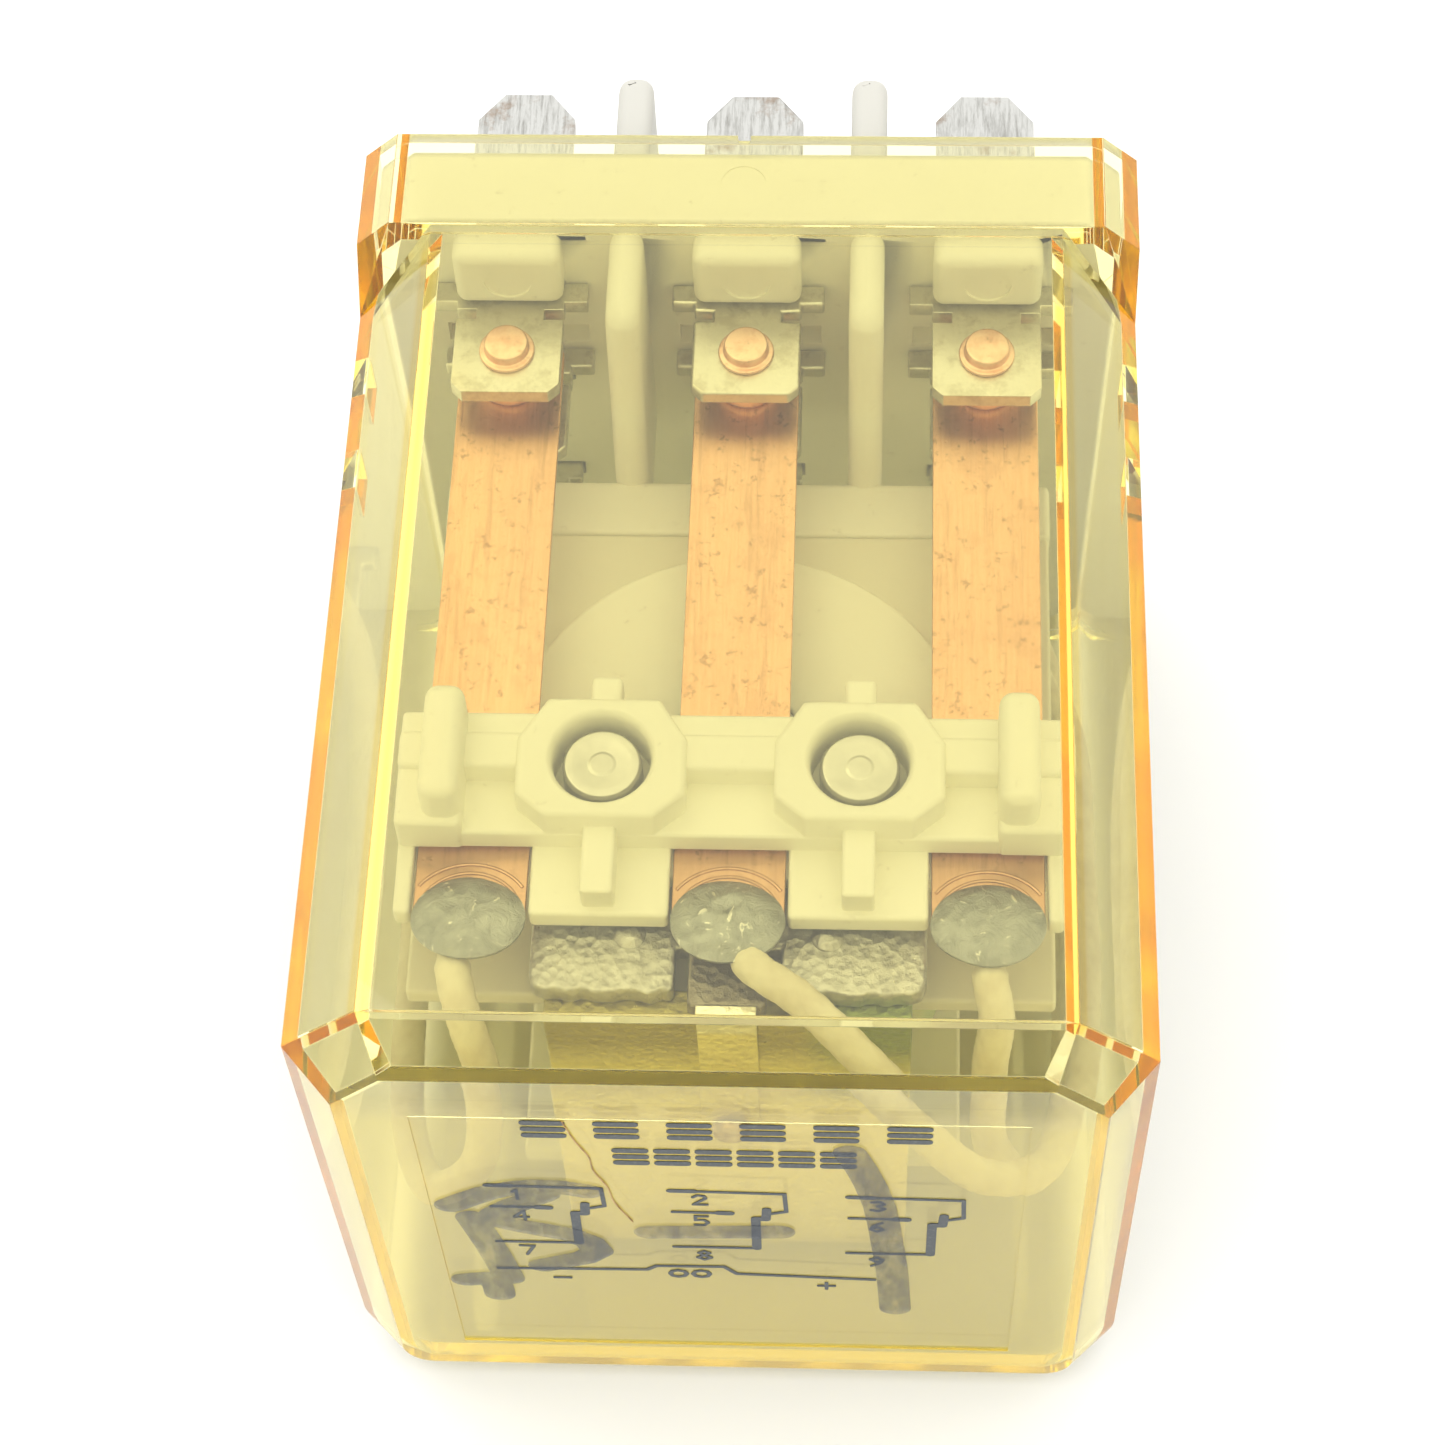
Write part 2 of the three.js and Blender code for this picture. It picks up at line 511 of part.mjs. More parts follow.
const CARRIER = { half: 14.5, start: 13.5, end: 19.1, top: 5.6, bottom: 9.3, lowerStart: 12.4 };
const TIER_DEPTH = 6.55;
const BACK_BAR_START = 17.8;
const RIDGE = { start: 16.1, end: 17.9, top: CARRIER.top - 0.35 };
const UPPER_BOTTOM = SPRING_DEPTH - 0.1;
const LOWER_TOP = SPRING_DEPTH + SPRING_THICKNESS + 0.1;
const SKIRT = { top: 7.7, bottom: 8.9, start: 10.2 };
const BOSS = { halfX: 3.7, halfY: 2.95, cutX: 1.2, cutY: 1.5, top: 4.9, hole: 2.15, floor: 7.3 };
const POST = { x: 12.45, half: 0.88, start: 13.7, end: 19.3, top: 3.4, corner: 0.5 };
const POST_FOOT_START = CARRIER.start - 0.1;
const WEB = { half: 0.75, start: 10.3, top: 5.9, bottom: SKIRT.top + 0.2 };
const TAB = { half: 0.7, end: 21.2, bottom: 7.3 };
const SPRING_POCKET = SPRING_WIDTH / 2 + 0.12;

/** Two distances from the middle as places across on side s, the lower one first. */
const sided = (s, near, far) => (s < 0 ? [-far, -near] : [near, far]);

function carrierGeometry() {
  const { half, start, end, top, bottom, lowerStart } = CARRIER;
  const joined = start + 2 * JOIN;
  const solids = [
    box(-half, half, start, end, TIER_DEPTH, UPPER_BOTTOM),
    box(-half, half, BACK_BAR_START, end, top, UPPER_BOTTOM),
    box(-half, half, RIDGE.start, RIDGE.end, RIDGE.top, UPPER_BOTTOM),
    box(-half, half, lowerStart, end, LOWER_TOP, bottom),
  ];
  for (const s of SIDES) {
    const x = s * CARRIER_RIVET_X;
    const outline = [];
    for (const [sx, sy] of [[-1, -1], [1, -1], [1, 1], [-1, 1]]) {
      const wide = [x + sx * BOSS.halfX, CARRIER_RIVET_Y + sy * (BOSS.halfY - BOSS.cutY)];
      const far = [x + sx * (BOSS.halfX - BOSS.cutX), CARRIER_RIVET_Y + sy * BOSS.halfY];
      outline.push(...(sx * sy > 0 ? [wide, far] : [far, wide]));
    }
    solids.push(plate(outline, BOSS.top, UPPER_BOTTOM));
    solids.push(box(x - WEB.half, x + WEB.half, WEB.start, joined, WEB.top, WEB.bottom));
    solids.push(box(x - TAB.half, x + TAB.half, end - JOIN, TAB.end, WEB.top, TAB.bottom));
    const spans = [[SPRING_POCKET, POLE_PITCH - SPRING_POCKET], [POLE_PITCH + SPRING_POCKET, half]];
    for (const [near, far] of spans) {
      const [x0, x1] = sided(s, near, far);
      solids.push(box(x0, x1, SKIRT.start, joined, SKIRT.top, SKIRT.bottom));
      solids.push(box(x0, x1, lowerStart, end, SKIRT.top, bottom));
    }
    const [p0, p1] = sided(s, POST.x - POST.half, half);
    solids.push(box(p0, p1, POST_FOOT_START, end, top, UPPER_BOTTOM));
    const px = s * POST.x - POST.half;
    solids.push(profile([
      [POST.start, top + JOIN], [POST.start, POST.top + POST.corner],
      [POST.start + POST.corner, POST.top], [POST.end - POST.corner, POST.top],
      [POST.end, POST.top + POST.corner], [POST.end, top + JOIN],
    ], px, px + 2 * POST.half));
  }
  const holes = SIDES.flatMap((s) => [
    rod(s * CARRIER_RIVET_X, CARRIER_RIVET_Y, BOSS.hole, BOSS.top - THROUGH, BOSS.floor),
    rod(s * CARRIER_RIVET_X, CARRIER_RIVET_Y, CARRIER_RIVET.hole, BOSS.top, bottom + THROUGH),
  ]);
  return combine(solids, holes);
}
addPiece('contact_carrier', carrierGeometry(), ivory);

SIDES.forEach((s) => {
  const { shank, collar, collarTop, face, top } = CARRIER_RIVET;
  const seat = BOSS.floor - SEAT_GAP;
  addPiece(`carrier_rivet_${s < 0 ? 'left' : 'right'}`, turned(s * CARRIER_RIVET_X, CARRIER_RIVET_Y, [
    [0, HINGE.depth], [shank, HINGE.depth], [shank, seat], [collar, seat],
    [collar, collarTop], [face, top], [0, top],
  ]), silver);
});

const SPRING = { start: 8.8, end: 40.9, corner: 0.7 };
const SPRING_BOTTOM = SPRING_DEPTH + SPRING_THICKNESS;
const MOVING = { shank: 0.8, button: 0.75, edge: { across: 0.3, down: 0.2 } };

function springGeometry(x) {
  const half = SPRING_WIDTH / 2;
  const { start, end, corner } = SPRING;
  return combine([plate([
    [x - half, start + corner], [x - half + corner, start], [x + half - corner, start],
    [x + half, start + corner], [x + half, end - corner], [x + half - corner, end],
    [x - half + corner, end], [x - half, end - corner],
  ], SPRING_DEPTH, SPRING_BOTTOM)], [
    rod(x, CONTACT_Y, MOVING.shank, SPRING_DEPTH - THROUGH, SPRING_BOTTOM + THROUGH, SMALL_ROUND),
  ]);
}

/** Double-sided rivet in the end of a contact spring. */
function movingContact(x) {
  const { shank, button, edge } = MOVING;
  const top = SPRING_DEPTH - button;
  const bottom = SPRING_BOTTOM + button;
  const face = CONTACT_RADIUS - edge.across;
  return turned(x, CONTACT_Y, [
    [0, bottom], [face, bottom], [CONTACT_RADIUS, bottom - edge.down],
    [CONTACT_RADIUS, SPRING_BOTTOM], [shank, SPRING_BOTTOM], [shank, SPRING_DEPTH],
    [CONTACT_RADIUS, SPRING_DEPTH], [CONTACT_RADIUS, top + edge.down], [face, top], [0, top],
  ]);
}

const SOLDER = { halfX: 2.45, halfY: 2.05, high: 0.85, y: 10.4, lift: 0.02, facets: 20, rings: 12 };

/** Low solder lens on the tail of a contact spring. */
function solderJoint(x) {
  const { halfX, halfY, high, y } = SOLDER;
  const seat = SPRING_DEPTH - SOLDER.lift;
  const lens = new THREE.SphereGeometry(1, SOLDER.facets, SOLDER.rings).rotateX(Math.PI / 2);
  lens.scale(halfX, halfY, high);
  lens.translate(x, y, up(seat));
  const below = box(
    x - 2 * halfX, x + 2 * halfX, y - 2 * halfY, y + 2 * halfY, seat, seat + 2 * high);
  return combine([lens], [below]);
}

POLES.forEach((x, index) => {
  addPiece(`contact_spring_${index + 1}`, springGeometry(x), copper);
  addPiece(`moving_contact_${index + 1}`, movingContact(x), contactAlloy);
  addPiece(`solder_joint_${index + 1}`, solderJoint(x), solder);
});

// ---------------------------------------------------------------- return spring
const LEAF = {
  half: 1.3, thickness: 0.22, foot: 22, lip: 7.7, top: ARMATURE_DEPTH - 0.35, bend: 0.3,
};
const LEAF_RIVET = { topRadius: 0.8, radius: 0.95, high: 0.5, depth: 18.5 };
const leafBack = YOKE_FRONT - 0.1;
const leafFront = leafBack - LEAF.thickness;
addPiece('return_spring', profile([
  [leafBack, LEAF.foot], [leafFront, LEAF.foot], [leafFront, LEAF.top + LEAF.bend],
  [leafFront + LEAF.bend, LEAF.top], [LEAF.lip, LEAF.top], [LEAF.lip, LEAF.top + LEAF.thickness],
  [leafBack + LEAF.thickness, LEAF.top + LEAF.thickness],
  [leafBack, LEAF.top + 2 * LEAF.thickness],
], -LEAF.half, LEAF.half), silver);

const leafRivet = new THREE.CylinderGeometry(
  LEAF_RIVET.topRadius, LEAF_RIVET.radius, LEAF_RIVET.high, SMALL_ROUND);
leafRivet.rotateX(Math.PI);
leafRivet.translate(0, leafFront - SEAT_GAP - LEAF_RIVET.high / 2, up(LEAF_RIVET.depth));
addPiece('return_spring_rivet', leafRivet, silver);

// ---------------------------------------------------------------- flexible leads
const LEAD_RADIUS = 0.8;
const LEAD_STEPS = 44;
const LEAD_ROUTES = [
  [[-11.8, 8.0, 8.9], [-11.3, 6.2, 9.8], [-10.6, 4.7, 12.4], [-11.2, 3.4, 17.0], [-13.6, 4.0, 20.8],
    [-15.2, 8.0, 22.6], [-15.5, 15.0, 22.8], [-15.4, 24.0, 22.4], [-14.4, 32.0, 21.6],
    [-12.2, 36.6, 20.95], [-11.4, 38.1, 20.9]],
  [[1.1, 8.15, 8.25], [3.2, 6.8, 8.7], [5.9, 4.7, 10.0], [8.4, 3.3, 12.4], [11.2, 2.6, 15.4],
    [14.0, 4.2, 17.6], [15.4, 9.5, 18.5], [15.5, 18.0, 18.4], [14.8, 27.0, 18.6],
    [11.0, 33.6, 19.4], [4.6, 36.2, 20.6], [1.2, 37.0, 20.9], [0.3, 38.1, 20.9]],
  [[11.3, 8.0, 8.9], [11.6, 6.6, 9.8], [11.4, 5.6, 12.4], [11.7, 5.3, 18.2], [13.4, 5.4, 21.8],
    [15.1, 8.5, 23.2], [15.5, 16.0, 23.2], [15.4, 25.0, 22.8], [14.4, 32.0, 21.8],
    [12.2, 36.6, 20.95], [11.4, 38.1, 20.9]],
];
LEAD_ROUTES.forEach((route, index) => {
  addPiece(`pole_lead_${index + 1}`, tube(route, LEAD_RADIUS, LEAD_STEPS), sleeve);
});

export default relay;
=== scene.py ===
"""Looks of the plug-in relay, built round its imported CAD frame.

Sizes are in millimetres. A place is given as (x, along, depth): x across the relay, along measured
from the printed end of the cover, and depth measured down from the contact side. point() turns such
a place into the frame's metres.
"""
import json
import math

import bmesh
import bpy
from mathutils import Matrix, Vector, noise


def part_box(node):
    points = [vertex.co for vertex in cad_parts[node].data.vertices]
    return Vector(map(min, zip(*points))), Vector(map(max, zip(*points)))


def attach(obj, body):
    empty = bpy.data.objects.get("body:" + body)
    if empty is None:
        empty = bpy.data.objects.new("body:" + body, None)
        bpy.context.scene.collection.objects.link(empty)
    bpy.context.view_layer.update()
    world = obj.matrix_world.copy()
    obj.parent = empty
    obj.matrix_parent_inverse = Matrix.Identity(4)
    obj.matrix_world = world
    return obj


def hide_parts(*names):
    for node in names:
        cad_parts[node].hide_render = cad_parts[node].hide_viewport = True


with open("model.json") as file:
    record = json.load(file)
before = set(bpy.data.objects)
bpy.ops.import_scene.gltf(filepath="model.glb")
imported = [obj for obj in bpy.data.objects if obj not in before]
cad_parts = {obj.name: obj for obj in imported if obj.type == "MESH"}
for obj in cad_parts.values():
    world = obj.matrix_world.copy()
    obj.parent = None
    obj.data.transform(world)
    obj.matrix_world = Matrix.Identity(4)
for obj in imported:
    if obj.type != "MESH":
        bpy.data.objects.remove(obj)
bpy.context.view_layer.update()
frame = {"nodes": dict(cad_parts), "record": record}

MM = 0.001
BODY_OF = {
    node: body
    for body, nodes in frame["record"]["behaviour"]["bodies"].items()
    for node in nodes
}
SLOT_OF = {
    subpart["node"]: subpart["material_slot"] for subpart in frame["record"]["subparts"]
}

# ---------------------------------------------------------------- dimensions, in millimetres
WIDTH = 36.0
HEIGHT = 36.0
SKIRT_PROUD = 0.12
WALL = 1.15
BEVEL_ACROSS = 3.5
BEVEL_DOWN = 3.7
POLE_PITCH = 11.2
POLES = (-POLE_PITCH, 0.0, POLE_PITCH)
SIDES = (-1, 1)
COVER_LENGTH = 47.4
SKIRT_START = 41.4
BASE_INNER = 42.9
BASE_OUTER = 47.0
BLADE_WIDTH = 4.75
BLADE_THICKNESS = 0.8
NC_DEPTH = 6.1
NO_PLATE_DEPTH = 11.1
NO_DEPTH = 12.9
COMMON_DEPTH = 20.9
COIL_BLADE_DEPTH = 28.9
SPRING_DEPTH = 8.0
SPRING_THICKNESS = 0.25
ARMATURE_DEPTH = 9.5
ARMATURE_THICKNESS = 1.2
CONTACT_ALONG = 38.8
CONTACT_RADIUS = 1.6
COIL_ALONG = 20.9
FLANGE_DEPTH = 11.55
PLATE_DEPTH = 12.3
CARRIER_RIVET_X = 5.6
CARRIER_RIVET_ALONG = 16.5
CARRIER_RIVET_HOLE = 1.3
FRAME_RIVET_X = 4.6
FRAME_RIVET_ALONG = 39.6
FRAME_RIVET_HOLE = 1.2
SLOT_GAP = 0.12                  # between a blade and its slot, and round the base
THROUGH = 1.0                    # how far a cut reaches past what it cuts

cover_low, cover_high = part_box("cover")
PRINTED_END = cover_low.y
CONTACT_SIDE = cover_high.z - SKIRT_PROUD * MM


def point(x, along, depth):
    return Vector((x * MM, PRINTED_END + along * MM, CONTACT_SIDE - depth * MM))


def object_from(name, data):
    made = bpy.data.objects.new(name, data)
    bpy.context.scene.collection.objects.link(made)
    return made


# ---------------------------------------------------------------- camera, light and floor
CAMERA_PLACE = (6.24, -59.29, -125.2)
CAMERA_YAW = 4.89
CAMERA_TILT = 30.97
CAMERA_ROLL = -3.46
CAMERA_LENS = 86.7
WORLD_WHITE = (1.0, 0.995, 0.98, 1)
HORIZON_STRENGTH = 0.95
ZENITH_STRENGTH = 1.72
HORIZON_BAND = (-0.1, 1.0)       # heights of the view direction where the brightening starts and ends
FLOOR_HALF = 2.0                 # metres
FLOOR_LEVEL = -0.00003


def add_camera():
    data = bpy.data.cameras.new("camera")
    data.lens = CAMERA_LENS
    data.sensor_width = 36
    data.clip_start = 0.01
    data.clip_end = 10
    camera = object_from("camera", data)
    turn = (
        Matrix.Rotation(math.radians(CAMERA_YAW), 4, "Z")
        @ Matrix.Rotation(math.radians(CAMERA_TILT), 4, "X")
        @ Matrix.Rotation(math.radians(CAMERA_ROLL), 4, "Z")
    )
    camera.matrix_world = Matrix.Translation(point(*CAMERA_PLACE)) @ turn
    bpy.context.scene.camera = camera


def add_world():
    """White surroundings that grow brighter from the horizon up to the zenith."""
    world = bpy.data.worlds.new("studio")
    world.use_nodes = True
    tree = world.node_tree
    background = tree.nodes["Background"]
    background.inputs["Color"].default_value = WORLD_WHITE
    direction = tree.nodes.new("ShaderNodeTexCoord").outputs["Generated"]
    split = tree.nodes.new("ShaderNodeSeparateXYZ")
    tree.links.new(direction, split.inputs[0])
    ramp = tree.nodes.new("ShaderNodeMapRange")
    ramp.interpolation_type = "SMOOTHSTEP"
    for socket, value in zip(("From Min", "From Max", "To Min", "To Max"),
                             (*HORIZON_BAND, HORIZON_STRENGTH, ZENITH_STRENGTH)):
        ramp.inputs[socket].default_value = value
    tree.links.new(split.outputs["Z"], ramp.inputs["Value"])
    tree.links.new(ramp.outputs["Result"], background.inputs["Strength"])
    bpy.context.scene.world = world


def add_lamp(name, place, aim, size, power):
    data = bpy.data.lights.new(name, "AREA")
    data.shape = "RECTANGLE"
    data.size, data.size_y = size
    data.energy = power
    lamp = object_from(name, data)
    lamp.location = place
    lamp.rotation_mode = "QUATERNION"
    lamp.rotation_quaternion = (Vector(aim) - Vector(place)).to_track_quat("-Z", "Y")


def add_studio():
    add_world()
    add_lamp("soft_key", (-0.25, 0.15, 0.5), (0, 0, 0.02), (0.3, 0.3), 0.3)
    floor_mesh = bpy.data.meshes.new("floor")
    corners = [(-1, -1), (1, -1), (1, 1), (-1, 1)]
    floor_mesh.from_pydata(
        [(x * FLOOR_HALF, y * FLOOR_HALF, FLOOR_LEVEL) for x, y in corners], [], [(0, 1, 2, 3)])
    floor = object_from("floor", floor_mesh)
    floor_mesh.materials.append(FLOOR)


# ---------------------------------------------------------------- material kit
class Finish:
    """A procedural material: a Principled shader with patterns in the piece's own coordinates."""

    def __init__(self, name, colour, roughness, metallic=0.0, **sockets):
        self.material = bpy.data.materials.new(name)
        self.material.use_nodes = True
        self.tree = self.material.node_tree
        self.shader = self.tree.nodes["Principled BSDF"]
        self.output = self.tree.nodes["Material Output"]
        self.place = self.tree.nodes.new("ShaderNodeTexCoord").outputs["Object"]
        self.colour = (*colour, 1)
        self.shader.inputs["Base Color"].default_value = self.colour
        self.shader.inputs["Roughness"].default_value = roughness
        self.shader.inputs["Metallic"].default_value = metallic
        for socket, value in sockets.items():
            self.shader.inputs[socket.replace("_", " ")].default_value = value

    def link(self, source, target):
        self.tree.links.new(source, target)

    def place_in_mm(self, stretch):
        """The place in millimetres, drawn out along the axes by stretch."""
        mapping = self.tree.nodes.new("ShaderNodeMapping")
        for axis in range(3):
            mapping.inputs["Scale"].default_value[axis] = 1 / (MM * stretch[axis])
        self.link(self.place, mapping.inputs["Vector"])
        return mapping.outputs[0]

    def pattern(self, scale, detail=3.0, rough=0.5, stretch=(1, 1, 1), distortion=0.0):
        """Noise whose grain is about 1 / scale millimetres, stretched along the axes."""
        place = self.place_in_mm(stretch)
        texture = self.tree.nodes.new("ShaderNodeTexNoise")
        texture.inputs["Scale"].default_value = scale
        texture.inputs["Detail"].default_value = detail
        texture.inputs["Roughness"].default_value = rough
        texture.inputs["Distortion"].default_value = distortion
        self.link(place, texture.inputs["Vector"])
        return texture.outputs["Fac"]

    def cells(self, scale):
        """Distance to the middle of the nearest of many cells about 1 / scale millimetres wide."""
        place = self.place_in_mm((1, 1, 1))
        texture = self.tree.nodes.new("ShaderNodeTexVoronoi")
        texture.inputs["Scale"].default_value = scale
        self.link(place, texture.inputs["Vector"])
        return texture.outputs["Distance"]

    def span(self, value, low, high, to_low=0.0, to_high=1.0):
        """Maps low..high onto to_low..to_high, clamped."""
        node = self.tree.nodes.new("ShaderNodeMapRange")
        for socket, number in zip(("From Min", "From Max", "To Min", "To Max"),
                                  (low, high, to_low, to_high)):
            node.inputs[socket].default_value = number
        self.link(value, node.inputs["Value"])
        return node.outputs["Result"]

    def coordinate(self, axis):
        """The place along one axis of the frame, in metres."""
        split = self.tree.nodes.new("ShaderNodeSeparateXYZ")
        self.link(self.place, split.inputs[0])
        return split.outputs[axis]

    def below_depth(self, fades_from, fades_to):
        """1 deeper than fades_to and 0 above fades_from."""
        return self.span(self.coordinate("Z"), point(0, 0, fades_to).z,
                         point(0, 0, fades_from).z, 1, 0)

    def before(self, fades_from, fades_to):
        """1 nearer the printed end than fades_from and 0 beyond fades_to."""
        return self.span(self.coordinate("Y"), point(0, fades_from, 0).y,
                         point(0, fades_to, 0).y, 1, 0)

    def beyond(self, fades_from, fades_to):
        """0 nearer the printed end than fades_from and 1 beyond fades_to."""
        return self.span(self.coordinate("Y"), point(0, fades_from, 0).y, point(0, fades_to, 0).y)

    def off_centre(self):
        """Distance from the middle plane, in metres."""
        return self.combine("ABSOLUTE", self.coordinate("X"), 0)

    def within(self, half, fade=0.3):
        """1 near the middle plane and 0 further across than half."""
        return self.span(self.off_centre(), (half - fade) * MM, half * MM, 1, 0)

    def outside(self, mask):
        """1 where mask is 0."""
        return self.combine("SUBTRACT", 1, mask)

    def both(self, one, other):
        """1 only where both masks are 1."""
        return self.combine("MULTIPLY", one, other)

    def combine(self, operation, a, b):
        node = self.tree.nodes.new("ShaderNodeMath")
        node.operation = operation
        for index, value in enumerate((a, b)):
            if isinstance(value, (int, float)):
                node.inputs[index].default_value = value
            else:
                self.link(value, node.inputs[index])
        return node.outputs[0]

    def stain(self, factor, colour, strength=1.0):
        """Mixes another colour in where factor is high. Later stains lie on earlier ones."""
        node = self.tree.nodes.new("ShaderNodeMix")
        node.data_type = "RGBA"
        base = self.shader.inputs["Base Color"]
        if base.is_linked:
            self.link(base.links[0].from_socket, node.inputs["A"])
        else:
            node.inputs["A"].default_value = self.colour
        node.inputs["B"].default_value = (*colour, 1)
        self.link(self.combine("MULTIPLY", factor, strength), node.inputs["Factor"])
        self.link(node.outputs["Result"], base)

    def rough(self, factor, low, high):
        self.link(self.span(factor, 0, 1, low, high), self.shader.inputs["Roughness"])

    def relief(self, height, distance, strength=1.0):
        """Bump of about distance millimetres."""
        node = self.tree.nodes.new("ShaderNodeBump")
        node.inputs["Strength"].default_value = strength
        node.inputs["Distance"].default_value = distance * MM
        self.link(height, node.inputs["Height"])
        normal = self.shader.inputs["Normal"]
        if normal.is_linked:
            self.link(normal.links[0].from_socket, node.inputs["Normal"])
        self.link(node.outputs["Normal"], normal)


def paint_bevel_glow(finish):
    """Painted highlights: the cover's edges on both sides of its long bevels are painted golden up to
    the skirt, for the light that runs along the walls.
    """
    glow_gold, strength = (1.0, 0.76, 0.16), 0.9
    near, fade = 0.3, 0.3
    across = finish.off_centre()
    bevelled = finish.before(SKIRT_START - 0.8, SKIRT_START)
    from_edge = finish.combine("SUBTRACT", across, (WIDTH / 2 - BEVEL_ACROSS) * MM)
    beside = finish.span(finish.combine("ABSOLUTE", from_edge, 0), near * MM, (near + fade) * MM, 1, 0)
    inner_edge_glow = finish.both(beside, finish.outside(finish.below_depth(near, near + fade)))
    # painted highlight along the inner edge of each bevel
    finish.stain(finish.both(inner_edge_glow, bevelled), glow_gold, strength)
    # painted highlight along the side, level with the bevel's lower edge
    at_side = finish.span(across, (WIDTH / 2 - 0.4) * MM, (WIDTH / 2 - 0.2) * MM)
    level = finish.combine("SUBTRACT", finish.below_depth(BEVEL_DOWN - 0.5, BEVEL_DOWN - 0.2),
                           finish.below_depth(BEVEL_DOWN + 0.2, BEVEL_DOWN + 0.5))
    finish.stain(finish.both(finish.both(at_side, level), bevelled), glow_gold, strength)


def clear_cover_finish():
    """Aged yellow polycarbonate: clear in thin walls, orange where light runs along a wall and
    hazy in the printed wall."""
    finish = Finish("clear_yellow", (1.0, 0.97, 0.72), 0.03, IOR=1.5, Transmission_Weight=1.0)
    # the golden bevel edges are painted highlights, not a colour of the plastic
    paint_bevel_glow(finish)
    printed_wall = finish.both(finish.before(1.0, 1.5), finish.below_depth(4.5, 6.5))
    finish.stain(printed_wall, (1.0, 0.88, 0.32), 0.75)
    clearness = finish.span(printed_wall, 0, 1, 1.0, 0.82)
    finish.link(clearness, finish.shader.inputs["Transmission Weight"])
    haze = finish.pattern(0.35, 4, 0.6)
    finish.rough(finish.span(haze, 0.45, 0.75), 0.015, 0.07)
    finish.relief(finish.pattern(0.12, 1, 0.4), 0.02, 0.35)
    absorb = finish.tree.nodes.new("ShaderNodeVolumeAbsorption")
    absorb.inputs["Color"].default_value = (0.98, 0.90, 0.03, 1)
    absorb.inputs["Density"].default_value = 80
    finish.link(absorb.outputs["Volume"], finish.output.inputs["Volume"])
    return finish.material


def moulded_finish(name, colour, shade, roughness):
    """Satin moulded plastic: faint flow marks, scattered specks of brown dust and a fine eroded skin.
    """
    finish = Finish(name, colour, roughness, IOR=1.5, Specular_IOR_Level=0.4)
    finish.stain(finish.span(finish.pattern(0.16, 3, 0.55), 0.4, 0.7), shade, 0.5)
    finish.stain(finish.span(finish.pattern(1.6, 5, 0.7), 0.62, 0.74), (0.42, 0.34, 0.2), 0.25)
    finish.rough(finish.pattern(0.9, 3, 0.6), roughness - 0.08, roughness + 0.1)
    finish.relief(finish.pattern(9.0, 3, 0.6), 0.012, 0.35)
    finish.relief(finish.pattern(0.5, 2, 0.5), 0.05, 0.25)
    return finish


def base_finish():
    """Ivory moulding, painted greyer on the side that plugs into the socket: painted shade that tones
    down the stronger light outside the cover.
    """
    finish = moulded_finish("ivory_plastic", (0.93, 0.915, 0.82), (0.90, 0.88, 0.77), 0.45)
    # painted shade: the ivory outside the cover is darkened against the brighter light there
    finish.stain(finish.beyond(46.6, 47.1), (0.56, 0.55, 0.50), 1.0)
    return finish


def bobbin_finish():
    """The coil former: its plate, deeper than the round disc that stands on it, is painted darker as
    painted shade.
    """
    finish = moulded_finish("bobbin_plastic", (0.95, 0.925, 0.80), (0.91, 0.88, 0.73), 0.5)
    # painted shade on the deeper plate round the disc
    plate = finish.below_depth(FLANGE_DEPTH + 0.1, PLATE_DEPTH - 0.1)
    finish.stain(plate, (0.72, 0.67, 0.52), 0.5)
    return finish


def copper_finish():
    """Rolled copper alloy strip: fine lines along its length, warm tarnish and small pits."""
    finish = Finish("spring_copper", (0.72, 0.43, 0.24), 0.34, 1.0, Anisotropic=0.35)
    grain = finish.pattern(6.0, 4, 0.65, stretch=(1, 26, 1))
    finish.stain(finish.span(finish.pattern(0.22, 4, 0.6, stretch=(1, 2.5, 1)), 0.42, 0.72),
                 (0.62, 0.33, 0.17), 0.5)
    finish.stain(finish.span(grain, 0.35, 0.75), (0.84, 0.57, 0.36), 0.5)
    scratches = finish.pattern(2.2, 5, 0.75, stretch=(1, 14, 1), distortion=0.4)
    finish.stain(finish.span(scratches, 0.53, 0.64), (0.52, 0.29, 0.15), 0.55)
    blotches = finish.pattern(0.5, 5, 0.7)
    finish.stain(finish.span(blotches, 0.52, 0.62), (0.58, 0.33, 0.18), 0.4)
    finish.stain(finish.span(finish.pattern(1.7, 6, 0.8), 0.57, 0.63), (0.30, 0.15, 0.07), 0.6)
    finish.stain(finish.before(12.6, 13.6), (0.46, 0.28, 0.17), 0.6)
    finish.rough(grain, 0.24, 0.46)
    finish.relief(grain, 0.012, 0.7)
    finish.relief(scratches, 0.02, 0.5)
    finish.relief(finish.span(finish.cells(1.2), 0.0, 0.12), 0.03, 0.5)
    return finish.material


def contact_finish():
    """Silver alloy on copper, burnished and spotted by use."""
    finish = Finish("contact_alloy", (0.86, 0.60, 0.44), 0.32, 1.0)
    finish.stain(finish.span(finish.pattern(1.1, 4, 0.7), 0.45, 0.7), (0.70, 0.38, 0.24), 0.7)
    finish.stain(finish.span(finish.pattern(3.2, 5, 0.7), 0.6, 0.72), (0.20, 0.12, 0.08), 0.5)
    finish.rough(finish.pattern(2.0, 4, 0.7), 0.22, 0.5)
    finish.relief(finish.pattern(4.0, 4, 0.7), 0.015, 0.5)
    return finish.material


